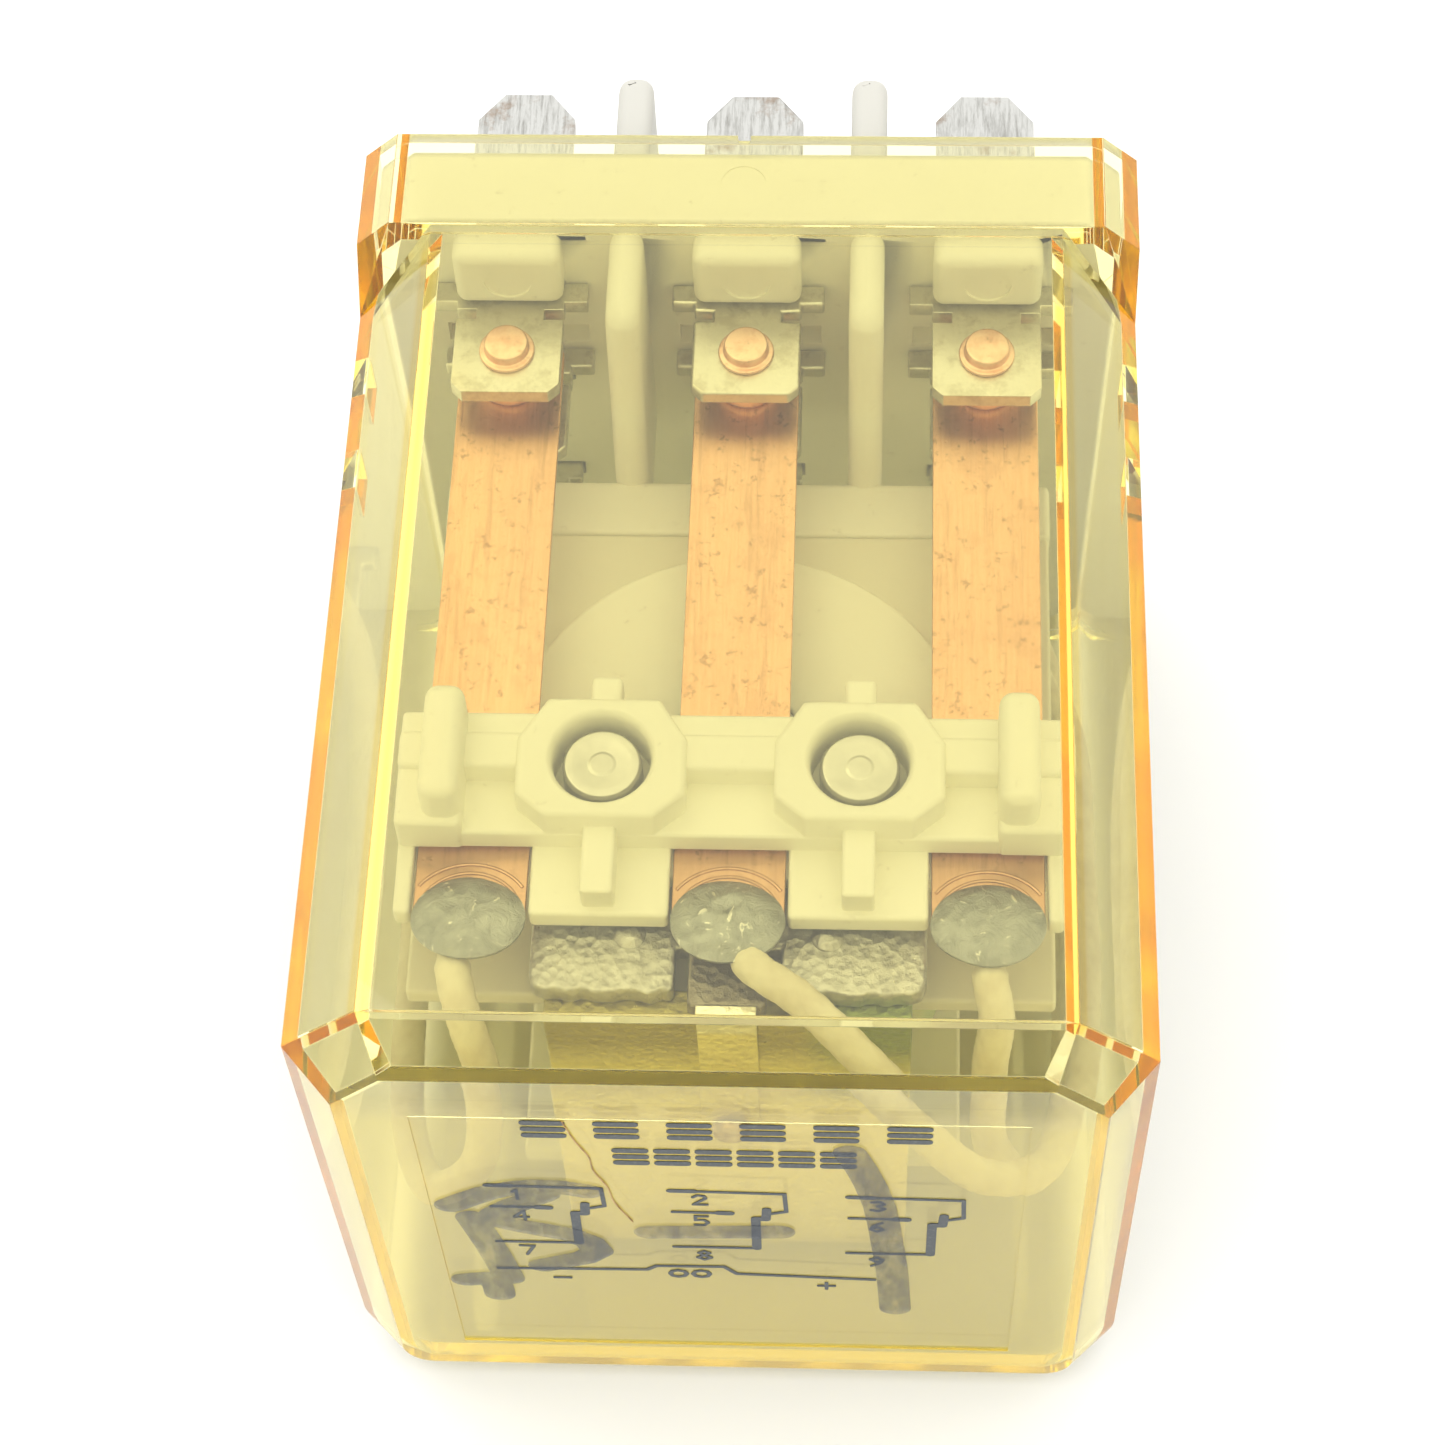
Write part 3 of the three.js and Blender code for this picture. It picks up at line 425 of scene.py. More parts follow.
def plated_finish(name, colour, dull, roughness, grain=(1, 1, 1)):
    """Nickel or tin plate: fine drawing lines, handling scratches and a duller bloom."""
    finish = Finish(name, colour, roughness, 1.0)
    finish.stain(finish.span(finish.pattern(0.5, 5, 0.7), 0.45, 0.75), dull, 0.6)
    lines = finish.pattern(5.0, 5, 0.7, stretch=grain)
    finish.rough(lines, roughness - 0.12, roughness + 0.16)
    finish.relief(lines, 0.008, 0.6)
    finish.relief(finish.pattern(1.3, 3, 0.6), 0.03, 0.4)
    return finish.material


def blade_finish():
    """Nickel blades, scratched lengthwise by the socket, with brown scorch marks outside the cover.
    Inside it they are painted lighter and warmer as painted light, with patches of yellow tarnish."""
    finish = Finish("tinned_blade", (0.52, 0.52, 0.50), 0.26, 1.0)
    lines = finish.pattern(3.4, 6, 0.75, stretch=(0.8, 9, 1))
    outside = finish.beyond(46.5, 47.5)
    inside = finish.outside(outside)
    # painted light: the part inside the cover is lightened to make up for the light the cover takes
    # away
    finish.stain(inside, (0.68, 0.66, 0.56), 0.9)
    tarnish = finish.span(finish.pattern(0.8, 6, 0.75), 0.48, 0.62)
    finish.stain(finish.both(tarnish, inside), (0.46, 0.42, 0.30), 0.6)
    scratched = finish.span(lines, 0.46, 0.66)
    finish.stain(finish.both(scratched, outside), (0.25, 0.245, 0.225), 0.85)
    scorched = finish.span(finish.pattern(0.45, 5, 0.7), 0.54, 0.66)
    finish.stain(finish.both(scorched, outside), (0.24, 0.16, 0.10), 0.6)
    finish.rough(lines, 0.2, 0.45)
    finish.relief(lines, 0.012, 0.5)
    finish.relief(finish.pattern(1.5, 4, 0.7), 0.04, 0.5)
    return finish.material


def zinc_finish(name, colour, spangle, dark):
    """Zinc plated steel: crystalline spangles, dull streaks and small bright wear spots."""
    finish = Finish(name, colour, 0.38, 1.0)
    finish.stain(finish.span(finish.cells(1.7), 0.1, 0.6), spangle, 0.6)
    finish.stain(finish.span(finish.pattern(0.9, 6, 0.8), 0.52, 0.66), dark, 0.65)
    finish.rough(finish.pattern(2.2, 5, 0.7), 0.16, 0.5)
    finish.relief(finish.cells(2.4), 0.08, 0.8)
    finish.relief(finish.pattern(3.5, 5, 0.7), 0.08, 0.9)
    return finish


def armature_finish():
    """The armature steel, darker brown on the tongue in its notch under the leaf spring."""
    finish = zinc_finish("zinc_steel", (0.46, 0.45, 0.40), (0.62, 0.61, 0.56), (0.24, 0.225, 0.18))
    tongue = finish.both(finish.within(2.0), finish.before(9.4, 9.8))
    finish.stain(tongue, (0.20, 0.16, 0.11), 0.75)
    return finish


def yoke_finish():
    """Yellow passivated steel: olive at the hinge end, with a green bloom on one side."""
    finish = zinc_finish("yellow_zinc_steel", (0.95, 0.86, 0.38), (0.98, 0.90, 0.42),
                         (0.80, 0.70, 0.30))
    upper = finish.outside(finish.below_depth(13.0, 16.5))
    finish.stain(upper, (0.36, 0.31, 0.09), 0.85)
    right = finish.span(finish.coordinate("X"), 3 * MM, 5 * MM)
    finish.stain(finish.both(upper, right), (0.24, 0.33, 0.10), 0.8)
    return finish


def leaf_finish():
    """The leaf spring: yellow like the frame it lies on, with a painted highlight where it is bent
    over.
    """
    finish = zinc_finish("leaf_steel", (0.90, 0.82, 0.38), (0.96, 0.88, 0.44), (0.74, 0.64, 0.28))
    # painted highlight on the bend at the top of the leaf
    bright = finish.outside(finish.below_depth(10.9, 11.3))
    finish.stain(bright, (0.93, 0.91, 0.80), 0.9)
    return finish


def solder_finish():
    """Reflowed solder: grey satin skin with frost and a few crease lines, painted bright as painted
    highlights.
    """
    finish = Finish("solder", (0.38, 0.39, 0.375), 0.42, 1.0)
    finish.stain(finish.span(finish.pattern(0.7, 5, 0.7), 0.45, 0.65), (0.26, 0.265, 0.25), 0.7)
    creases_and_glints = finish.pattern(0.8, 6, 0.7, distortion=2.0)
    # painted highlight: the crease lines are painted near white as glints
    finish.stain(finish.span(creases_and_glints, 0.60, 0.66), (0.80, 0.80, 0.76), 0.9)
    finish.rough(finish.pattern(1.6, 5, 0.7), 0.2, 0.55)
    finish.relief(creases_and_glints, 0.16, 0.9)
    finish.relief(finish.pattern(2.4, 5, 0.65, distortion=1.2), 0.05, 0.6)
    return finish.material


def sleeve_finish():
    """Varnished woven sleeve over stranded copper."""
    finish = Finish("lead_sleeve", (0.83, 0.77, 0.60), 0.6, Specular_IOR_Level=0.3)
    finish.stain(finish.span(finish.pattern(0.6, 4, 0.6), 0.4, 0.7), (0.62, 0.52, 0.34), 0.5)
    finish.relief(finish.pattern(4.0, 3, 0.6), 0.05, 0.5)
    return finish.material


def enamel_finish():
    """Enamelled copper wire with darker patches."""
    finish = Finish("enamelled_copper", (0.60, 0.22, 0.08), 0.3, 0.7, Coat_Weight=0.6)
    finish.stain(finish.span(finish.pattern(1.2, 4, 0.6), 0.4, 0.7), (0.36, 0.12, 0.05), 0.6)
    finish.relief(finish.pattern(3.0, 3, 0.6), 0.03, 0.4)
    return finish.material


def tape_finish():
    """Green polyester coil tape, slightly wrinkled."""
    finish = Finish("coil_tape", (0.42, 0.50, 0.15), 0.35, Coat_Weight=0.3)
    finish.stain(finish.span(finish.pattern(0.3, 4, 0.6), 0.4, 0.7), (0.55, 0.42, 0.12), 0.6)
    finish.relief(finish.pattern(0.8, 4, 0.6, stretch=(1, 1, 3)), 0.15, 0.5)
    return finish.material


def print_finish():
    """Dark blue-grey pad print, thin enough to break up a little."""
    finish = Finish("print_ink", (0.055, 0.065, 0.075), 0.5)
    finish.stain(finish.span(finish.pattern(5.0, 4, 0.7), 0.5, 0.7), (0.16, 0.17, 0.17), 0.6)
    return finish.material


def marker_finish():
    """Half rubbed-off marker pen: a grey film, thinner where the pen skipped."""
    finish = Finish("marker_film", (0.12, 0.135, 0.16), 0.6)
    streaks = finish.pattern(0.9, 5, 0.7, stretch=(1, 1, 3))
    finish.link(finish.span(streaks, 0.35, 0.7, 0.16, 0.5), finish.shader.inputs["Alpha"])
    return finish.material


def bronze_finish():
    """Tarnished rivet head, rubbed brighter in patches."""
    finish = Finish("bronze_rivet", (0.50, 0.33, 0.16), 0.35, 1.0)
    finish.stain(finish.span(finish.pattern(1.8, 5, 0.7), 0.45, 0.6), (0.22, 0.12, 0.05), 0.8)
    finish.relief(finish.pattern(2.2, 4, 0.7), 0.06, 0.7)
    return finish.material


def floor_finish():
    """Nearly white backdrop."""
    finish = Finish("floor", (0.93, 0.93, 0.92), 0.7)
    finish.stain(finish.span(finish.pattern(0.004, 2, 0.5), 0.3, 0.7), (0.90, 0.90, 0.89), 0.5)
    return finish.material


FLOOR = floor_finish()
FINISHES = {
    "clear_cover": clear_cover_finish(),
    "ivory_plastic": base_finish().material,
    "bobbin_plastic": bobbin_finish().material,
    "tinned_blade": blade_finish(),
    "contact_alloy": contact_finish(),
    "spring_copper": copper_finish(),
    "solder": solder_finish(),
    "lead_sleeve": sleeve_finish(),
    "yellow_zinc_steel": yoke_finish().material,
    "zinc_steel": armature_finish().material,
    "plated_rivet": plated_finish("plated_rivet", (0.60, 0.59, 0.54), (0.46, 0.45, 0.40), 0.38),
    "enamelled_copper": enamel_finish(),
    "coil_tape": tape_finish(),
}
INK = print_finish()
MARKER = marker_finish()
BRONZE = bronze_finish()
LEAF = leaf_finish().material


# ---------------------------------------------------------------- mesh kit
def turns(count):
    """The angles of count even steps round a circle."""
    return [2 * math.pi * k / count for k in range(count)]


def join_rings(bm, rings):
    """Faces between each ring of vertices and the next; a ring of one vertex is a pole."""
    for first, second in zip(rings, rings[1:]):
        for k in range(max(len(first), len(second))):
            corners = [first[k % len(first)], first[(k + 1) % len(first)],
                       second[(k + 1) % len(second)], second[k % len(second)]]
            unique = list(dict.fromkeys(corners))
            if len(unique) > 2:
                bm.faces.new(unique)


def rounded_corner(here, back, ahead, reach, steps):
    """Places on a curve that leaves one side of a corner and joins the other, reach from it."""
    start = here + back.normalized() * reach
    end = here + ahead.normalized() * reach
    shares = [step / steps for step in range(steps + 1)]
    return [tuple(start * (1 - t) ** 2 + here * 2 * t * (1 - t) + end * t ** 2) for t in shares]


def round_edges(bm, radius, segments, least=20):
    """Bevels every edge that turns by more than least degrees."""
    if radius <= 0:
        return
    edges = [
        edge
        for edge in bm.edges
        if len(edge.link_faces) == 2 and edge.calc_face_angle(0) > math.radians(least)
    ]
    bmesh.ops.bevel(
        bm, geom=edges, offset=radius * MM, offset_type="OFFSET", segments=segments,
        profile=0.5, affect="EDGES", clamp_overlap=True,
    )


def part_from(bm):
    """A loose part for fuse(): its faces point out."""
    bmesh.ops.recalc_face_normals(bm, faces=bm.faces)
    mesh = bpy.data.meshes.new("part")
    bm.to_mesh(mesh)
    bm.free()
    return object_from("part", mesh)


def hull_part(places, radius=0.0, segments=3, least=20):
    """Rounded convex solid through places."""
    bm = bmesh.new()
    for place in places:
        bm.verts.new(point(*place))
    made = bmesh.ops.convex_hull(bm, input=bm.verts)
    inside = {element for element in made["geom_interior"] if isinstance(element, bmesh.types.BMVert)}
    bmesh.ops.delete(bm, geom=list(inside), context="VERTS")
    bmesh.ops.dissolve_limit(bm, angle_limit=math.radians(1), verts=bm.verts, edges=bm.edges)
    round_edges(bm, radius, segments, least)
    return part_from(bm)


def box_part(x0, x1, along0, along1, depth0, depth1, radius=0.0, segments=3):
    """Rounded block between two places in each direction."""
    return hull_part(
        [(x, a, d) for x in (x0, x1) for a in (along0, along1) for d in (depth0, depth1)],
        radius, segments)


def rounded(outline, radius, steps=5):
    """A closed outline with its corners turned into arcs; radius may be one number or one each."""
    made = []
    count = len(outline)
    for index, corner in enumerate(outline):
        here = Vector(corner)
        back = Vector(outline[index - 1]) - here
        ahead = Vector(outline[(index + 1) % count]) - here
        size = radius[index] if isinstance(radius, (list, tuple)) else radius
        half = back.angle(ahead) / 2
        if size <= 0 or half > math.radians(88):
            made.append(tuple(here))
            continue
        reach = min(size / math.tan(half), back.length * 0.49, ahead.length * 0.49)
        made += rounded_corner(here, back, ahead, reach, steps)
    return made


def prism_part(outline, depth0, depth1, radius=0.0, segments=2, least=35):
    """An outline in x, along between two depths, with its rims rounded."""
    return swept_part([(x, a, depth0) for x, a in outline], (0, 0, depth1 - depth0),
                      radius, segments, least)


def profile_part(outline, x0, x1, radius=0.0, segments=2, least=35):
    """An outline in along, depth between two places across."""
    return swept_part([(x0, a, d) for a, d in outline], (x1 - x0, 0, 0), radius, segments, least)


def swept_part(places, move, radius, segments, least):
    """A flat face through places, pushed along move, with its edges rounded."""
    bm = bmesh.new()
    face = bm.faces.new([bm.verts.new(point(*place)) for place in places])
    made = bmesh.ops.extrude_face_region(bm, geom=[face])
    shift = point(*move) - point(0, 0, 0)
    bmesh.ops.translate(
        bm, vec=shift, verts=[v for v in made["geom"] if isinstance(v, bmesh.types.BMVert)])
    bmesh.ops.recalc_face_normals(bm, faces=bm.faces)
    round_edges(bm, radius, segments, least)
    return part_from(bm)


def ring_at(bm, x, along, depth, radius, facets):
    """Vertices round an upright axis."""
    return [bm.verts.new(point(x + radius * math.cos(turn), along + radius * math.sin(turn), depth))
            for turn in turns(facets)]


def turned_part(x, along, profile, facets=56):
    """Solid of revolution about an upright axis; the profile is (radius, depth) pairs that start
    and end on the axis."""
    bm = bmesh.new()
    rings = [ring_at(bm, x, along, depth, radius, facets if radius else 1)
             for radius, depth in profile]
    join_rings(bm, rings)
    return part_from(bm)


def disc_part(x, along0, along1, depth, radius, facets=48):
    """A round slug whose axis runs along the relay."""
    return hull_part([(x + radius * math.cos(turn), along, depth + radius * math.sin(turn))
                      for turn in turns(facets) for along in (along0, along1)])


def smooth_route(route, spacing, substeps=40):
    """Evenly spaced places on the centripetal curve through route, as the CAD tubes follow it."""
    knots = [Vector(place) for place in route]
    ends = [2 * knots[0] - knots[1], *knots, 2 * knots[-1] - knots[-2]]
    dense = []
    for a, b, c, d in zip(ends, ends[1:], ends[2:], ends[3:]):
        before, here, after = ((q - p).length ** 0.5 for p, q in ((a, b), (b, c), (c, d)))
        leave = ((b - a) / before - (c - a) / (before + here) + (c - b) / here) * here
        arrive = ((c - b) / here - (d - b) / (here + after) + (d - c) / after) * here
        for step in range(substeps):
            t = step / substeps
            dense.append(
                b * (2 * t ** 3 - 3 * t ** 2 + 1) + leave * (t ** 3 - 2 * t ** 2 + t)
                + c * (3 * t ** 2 - 2 * t ** 3) + arrive * (t ** 3 - t ** 2))
    dense.append(knots[-1])
    runs = [0.0]
    for a, b in zip(dense, dense[1:]):
        runs.append(runs[-1] + (b - a).length)
    count = round(runs[-1] / spacing)
    made = []
    index = 0
    for step in range(count + 1):
        run = runs[-1] * step / count
        while index < len(runs) - 2 and runs[index + 1] < run:
            index += 1
        share = (run - runs[index]) / (runs[index + 1] - runs[index])
        made.append(dense[index].lerp(dense[index + 1], share))
    return made


def tube_mesh(places, radius_at, sides):
    """A closed tube through places; radius_at takes the turn round it and the run along it."""
    bm = bmesh.new()
    centres = [point(*place) for place in places]
    ahead = (centres[1] - centres[0]).normalized()
    across = ahead.orthogonal().normalized()
    rings = []
    run = 0.0
    for index, centre in enumerate(centres):
        before = centres[max(index - 1, 0)]
        after = centres[min(index + 1, len(centres) - 1)]
        ahead = (after - before).normalized()
        across = (across - ahead * across.dot(ahead)).normalized()
        side = ahead.cross(across)
        run += (centre - before).length / MM
        ring = []
        for turn in turns(sides):
            reach = radius_at(turn, run) * MM
            ring.append(bm.verts.new(
                centre + across * reach * math.cos(turn) + side * reach * math.sin(turn)))
        rings.append(ring)
    join_rings(bm, rings)
    bm.faces.new(rings[0])
    bm.faces.new(rings[-1])
    return bm


def bore(x, along, radius, depth0, depth1, facets=48):
    """An upright cylinder to cut with."""
    profile = [(0, depth0), (radius, depth0), (radius, depth1), (0, depth1)]
    return turned_part(x, along, profile, facets)


def soft_profile(profile, radius, steps=4):
    """A turned profile with its corners off the axis rounded."""
    made = [profile[0]]
    for before, corner, after in zip(profile, profile[1:], profile[2:]):
        here = Vector(corner)
        back = Vector(before) - here
        ahead = Vector(after) - here
        reach = min(radius, back.length * 0.45, ahead.length * 0.45)
        made += rounded_corner(here, back, ahead, reach, steps)
    return [*made, profile[-1]]


def fuse(name, added, removed=()):
    """One clean solid: the first part joined with the rest, less the removed ones."""
    base = added[0]
    for operation, parts in (("UNION", added[1:]), ("DIFFERENCE", removed)):
        if not parts:
            continue
        group = bpy.data.collections.new("group")
        for part in parts:
            group.objects.link(part)
        modifier = base.modifiers.new("boolean", "BOOLEAN")
        modifier.operation = operation
        modifier.operand_type = "COLLECTION"
        modifier.collection = group
        modifier.solver = "EXACT"
    bpy.context.view_layer.update()
    evaluated = base.evaluated_get(bpy.context.evaluated_depsgraph_get())
    mesh = bpy.data.meshes.new_from_object(evaluated)
    for part in (*added, *removed):
        bpy.data.objects.remove(part)
    mesh.name = name
    mesh.materials.clear()
    return object_from(name, mesh)


def shade(piece, material, angle=32):
    """Gives a piece its material and smooths every edge that turns by less than angle degrees."""
    mesh = piece.data
    mesh.materials.clear()
    mesh.materials.append(material)
    mesh.shade_smooth()
    mesh.set_sharp_from_angle(angle=math.radians(angle))
    weighted = piece.modifiers.new("weighted", "WEIGHTED_NORMAL")
    weighted.keep_sharp = True
    weighted.weight = 80


def finish_piece(piece, node, name=None, angle=32, material=None):
    """Names a piece, shades it, gives it its node's finish and lets it stand for the node."""
    piece.name = name or f"{node}_fine"
    shade(piece, material or FINISHES[SLOT_OF[node]], angle)
    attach(piece, BODY_OF[node])
    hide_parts(node)


def finish_marking(piece, name, material):
    """A print or a mark on the cover's label panel, which no CAD node stands for."""
    piece.name = name
    shade(piece, material)
    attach(piece, BODY_OF["cover"])


def refined(node, radius, segments=3, least=25, weld=0.002):
    """A copy of a CAD node with its sharp edges rounded."""
    bm = bmesh.new()
    bm.from_mesh(frame["nodes"][node].data)
    bmesh.ops.remove_doubles(bm, verts=bm.verts, dist=weld * MM)
    bmesh.ops.dissolve_limit(bm, angle_limit=math.radians(0.5), verts=bm.verts, edges=bm.edges)
    round_edges(bm, radius, segments, least)
    return part_from(bm)


# ---------------------------------------------------------------- cover
LABEL = {"half": 12.87, "top": 6.0, "bottom": 31.5, "sunk": 0.1}
RIM_NOTCH = {"left": -0.5, "right": 0.1, "start": COVER_LENGTH - 0.35, "deep": 0.25}
PRINT_LAYER = (0.05, 0.092)      # along, inside the sunk panel
MARKER_LAYER = (0.02, 0.04)
FIBRE_ALONG = 0.05
THIN_LINE = 0.2
BOLD_LINE = 0.42
SIGN_LINE = 0.18
MARKER_WIDTH = 1.45


def make_cover():
    """The cover with its sunk label panel and the small notch left in its rim."""
    shell = refined("cover", 0.22, 4, 16)
    sunk = box_part(-LABEL["half"], LABEL["half"], -THROUGH, LABEL["sunk"],
                    LABEL["top"], LABEL["bottom"])
    notch = box_part(RIM_NOTCH["left"], RIM_NOTCH["right"], RIM_NOTCH["start"],
                     COVER_LENGTH + THROUGH, -THROUGH, RIM_NOTCH["deep"], 0.08)
    cover = fuse("cover", [shell], [sunk, notch])
    finish_piece(cover, "cover", "clear_cover", 24)


def capsule(start, end, width, layer, steps=7):
    """One flat pen stroke between two (x, depth) places on the label."""
    ends = [(x + width / 2 * math.cos(turn), depth + width / 2 * math.sin(turn))
            for x, depth in (start, end) for turn in turns(2 * steps)]
    return hull_part([(x, along, depth) for x, depth in ends for along in layer])


def strokes(places, width, layer):
    """A run of pen strokes from place to place."""
    return [capsule(a, b, width, layer) for a, b in zip(places, places[1:])]


# Pen strokes of the pin numbers, in a cell 1 wide and 1.6 high.
DIGIT_STROKES = {
    1: [[(0.2, 0.35), (0.5, 0), (0.5, 1.6)]],
    2: [[(0.05, 0.35), (0.35, 0), (0.8, 0.1), (0.95, 0.5), (0.05, 1.6), (1, 1.6)]],
    3: [[(0.05, 0.1), (0.7, 0), (0.95, 0.4), (0.5, 0.75), (1, 1.2), (0.6, 1.6), (0.05, 1.45)]],
    4: [[(0.75, 1.6), (0.75, 0), (0, 1.1), (1, 1.1)]],
    5: [[(0.95, 0), (0.1, 0), (0.1, 0.7), (0.7, 0.65), (1, 1.1), (0.7, 1.55), (0.05, 1.5)]],
    6: [[(0.85, 0), (0.2, 0.6), (0.05, 1.2), (0.5, 1.6), (0.95, 1.2), (0.6, 0.8), (0.15, 0.95)]],
    7: [[(0, 0), (1, 0), (0.4, 1.6)]],
    8: [[(0.5, 0.75), (0.1, 0.35), (0.5, 0), (0.9, 0.35), (0.5, 0.75), (0, 1.2), (0.5, 1.6),
         (1, 1.2), (0.5, 0.75)]],
    9: [[(0.85, 0.65), (0.4, 0.8), (0.05, 0.4), (0.5, 0), (0.95, 0.4), (0.8, 1.0), (0.15, 1.6)]],
}


def digit(number, x, depth, size, width, layer):
    """One figure whose cell is size wide, with its upper left corner at x and depth."""
    parts = []
    for run in DIGIT_STROKES[number]:
        parts += strokes([(x + size * a, depth + size * b) for a, b in run], width, layer)
    return parts


def changeover(x, depth, number, layer):
    """Wiring sign of one change-over contact with its three pin numbers."""
    runs = (
        (THIN_LINE, [(0, 0), (5.0, 0.15), (5.05, 2.05), (4.3, 2.35)]),
        (BOLD_LINE * 0.8, [(0.1, 0), (1.1, 0.02)]),
        (THIN_LINE, [(0.1, 2.3), (2.7, 2.35)]),
        (BOLD_LINE * 0.9, [(2.1, 2.33), (2.6, 2.35)]),
        (BOLD_LINE, [(4.2, 1.9), (4.15, 2.9), (3.7, 2.9), (3.68, 6.2)]),
        (THIN_LINE, [(0, 6.25), (3.6, 6.25)]),
    )
    parts = []
    for width, run in runs:
        parts += strokes([(x + right, depth + down) for right, down in run], width, layer)
    for row, down in enumerate((0.45, 2.75, 6.7)):
        parts += digit(number + len(POLES) * row, x + 1.0, depth + down, 0.62, 0.16, layer)
    return parts


def bars(left, depth, pitch, wide, count=6, high=3, down=0.62):
    """A row of small blocks, each of three plain bars."""
    parts = []
    for index in range(count):
        x = left + pitch * index
        for row in range(high):
            y = depth + down * row
            parts += strokes([(x, y), (x + wide, y)], BOLD_LINE, PRINT_LAYER)
    return parts


def make_print():
    """Two rows of plain bars, three change-over signs and the coil sign with its polarity."""
    parts = bars(-8.1, 6.55, 3.05, 1.5) + bars(-4.4, 9.2, 1.75, 1.15)
    for number, x, depth in ((1, -10.3, 13.1), (2, -2.4, 13.35), (3, 5.3, 13.7)):
        parts += changeover(x, depth, number, PRINT_LAYER)
    parts += strokes([(-10.5, 22.5), (-3.75, 22.35), (-3.3, 21.9), (-0.25, 21.85), (0.3, 22.65),
                      (6.5, 23.05)], 0.22, PRINT_LAYER)
    loop_radius, loop_depth = 0.38, 22.75
    for x in (-2.34, -1.3):
        loop = [(x + loop_radius * math.cos(k * math.pi / 4),
                 loop_depth + loop_radius * math.sin(k * math.pi / 4)) for k in range(9)]
        parts += strokes(loop, THIN_LINE, PRINT_LAYER)
    minus = [[(-8.0, 23.5), (-7.3, 23.5)]]
    plus = [[(4.0, 23.9), (4.7, 23.9)], [(4.35, 23.55), (4.35, 24.25)]]
    for line in minus + plus:
        parts += strokes(line, SIGN_LINE, PRINT_LAYER)
    finish_marking(fuse("print", parts), "label_print", INK)


def make_marker():
    """Rubbed pen marks on the label, with no meaning."""
    curves = [
        [(-12.0, 15.3), (-10.0, 13.7), (-7.6, 13.0), (-5.9, 13.5)],
        [(-7.8, 13.9), (-10.2, 16.6), (-6.4, 18.8), (-5.9, 20.4), (-8.4, 22.0)],
        [(-11.2, 16.6), (-10.6, 20.0), (-10.1, 23.6)],
        [(-12.1, 23.9), (-10.9, 23.7), (-10.7, 25.6)],
        [(-3.4, 17.9), (0.4, 17.7), (2.3, 17.6)],
    ]
    parts = []
    for run in curves:
        curved = smooth_route([(x, depth, 0) for x, depth in run], 1.1)
        parts += strokes([place[:2] for place in curved], MARKER_WIDTH, MARKER_LAYER)
    parts += strokes([(5.4, 8.9), (5.9, 10.6), (6.3, 12.3), (6.7, 14.6), (6.9, 16.6), (7.3, 21.8),
                      (7.5, 26.4)], MARKER_WIDTH, MARKER_LAYER)
    finish_marking(fuse("marks", parts), "label_marks", MARKER)


def make_fibre():
    """A stray brown fibre caught on the label."""
    radius = 0.035
    route = [(x, FIBRE_ALONG, depth) for x, depth in (
        (-6.5, 6.3), (-6.1, 8.2), (-5.6, 9.9), (-5.5, 11.3), (-5.0, 13.0), (-4.8, 14.6),
        (-4.1, 16.8))]
    fibre = part_from(tube_mesh(smooth_route(route, 0.3), lambda turn, run: radius, 6))
    finish_marking(fibre, "label_fibre", BRONZE)


# ---------------------------------------------------------------- base
BASE_HALF = WIDTH / 2 + SKIRT_PROUD - WALL - SLOT_GAP
BASE_TOP = WALL
BASE_BOTTOM = HEIGHT - WALL - SLOT_GAP
BASE_CORNER = 1.1
JOINED = BASE_INNER + 0.5        # how far what stands on the base's inner face reaches into it
RIB_X = 5.6
INNER_RIB = {"half": 0.8, "top": 1.9, "bottom": 16.4, "round": 0.76}
OUTER_RIB = {"half": 0.85, "start": 46.5, "end": 52.95, "top": 2.0, "bottom": 24.5, "round": 0.55}
BRIDGE = {"half": 14.4, "start": 33.2, "end": 36.3, "top": 12.6, "bottom": 16.4}
LEDGE = {"half": 7.5, "start": 37.4, "top": 30.3, "bottom": 32.2}
BLOCK = {"half": 2.53, "start": 41.4, "top": 2.1, "bottom": 5.6, "round": 0.55}
RECESS = {"half": 3.4, "top": 8.9, "bottom": 10.3}
EJECTOR_MARK = {"depth": 3.9, "radius": 1.1, "deep": 0.12}
GATE_MARK = {"x": -0.2, "along": 45.15, "radius": 1.05, "deep": 0.05}


def base_slab():
    """The plate that closes the cover, with its four corners cut off."""
    places = []
    for s in SIDES:
        for along in (BASE_INNER, BASE_OUTER):
            for edge, inward in ((BASE_TOP, BASE_CORNER), (BASE_BOTTOM, -BASE_CORNER)):
                places.append((s * BASE_HALF, along, edge + inward))
                places.append((s * (BASE_HALF - BASE_CORNER), along, edge))
    return hull_part(places, 0.18, 3)


def barrier_ribs(x):
    """The rib between two poles inside the cover, and the one between two blade columns outside."""
    top, bottom = INNER_RIB["top"], INNER_RIB["bottom"]
    inner = profile_part(
        [(38.2, top), (JOINED, top), (JOINED, bottom), (36.0, bottom), (36.0, BRIDGE["top"]),
         (37.6, 2.7)], x - INNER_RIB["half"], x + INNER_RIB["half"], INNER_RIB["round"], 6)
    half, start, end = OUTER_RIB["half"], OUTER_RIB["start"], OUTER_RIB["end"]
    plan = rounded([(x - half, start), (x + half, start), (x + half, end), (x - half, end)],
                   [0, 0, half, half], 8)
    outer = prism_part(plan, OUTER_RIB["top"], OUTER_RIB["bottom"], OUTER_RIB["round"], 5, 50)
    return [inner, outer]


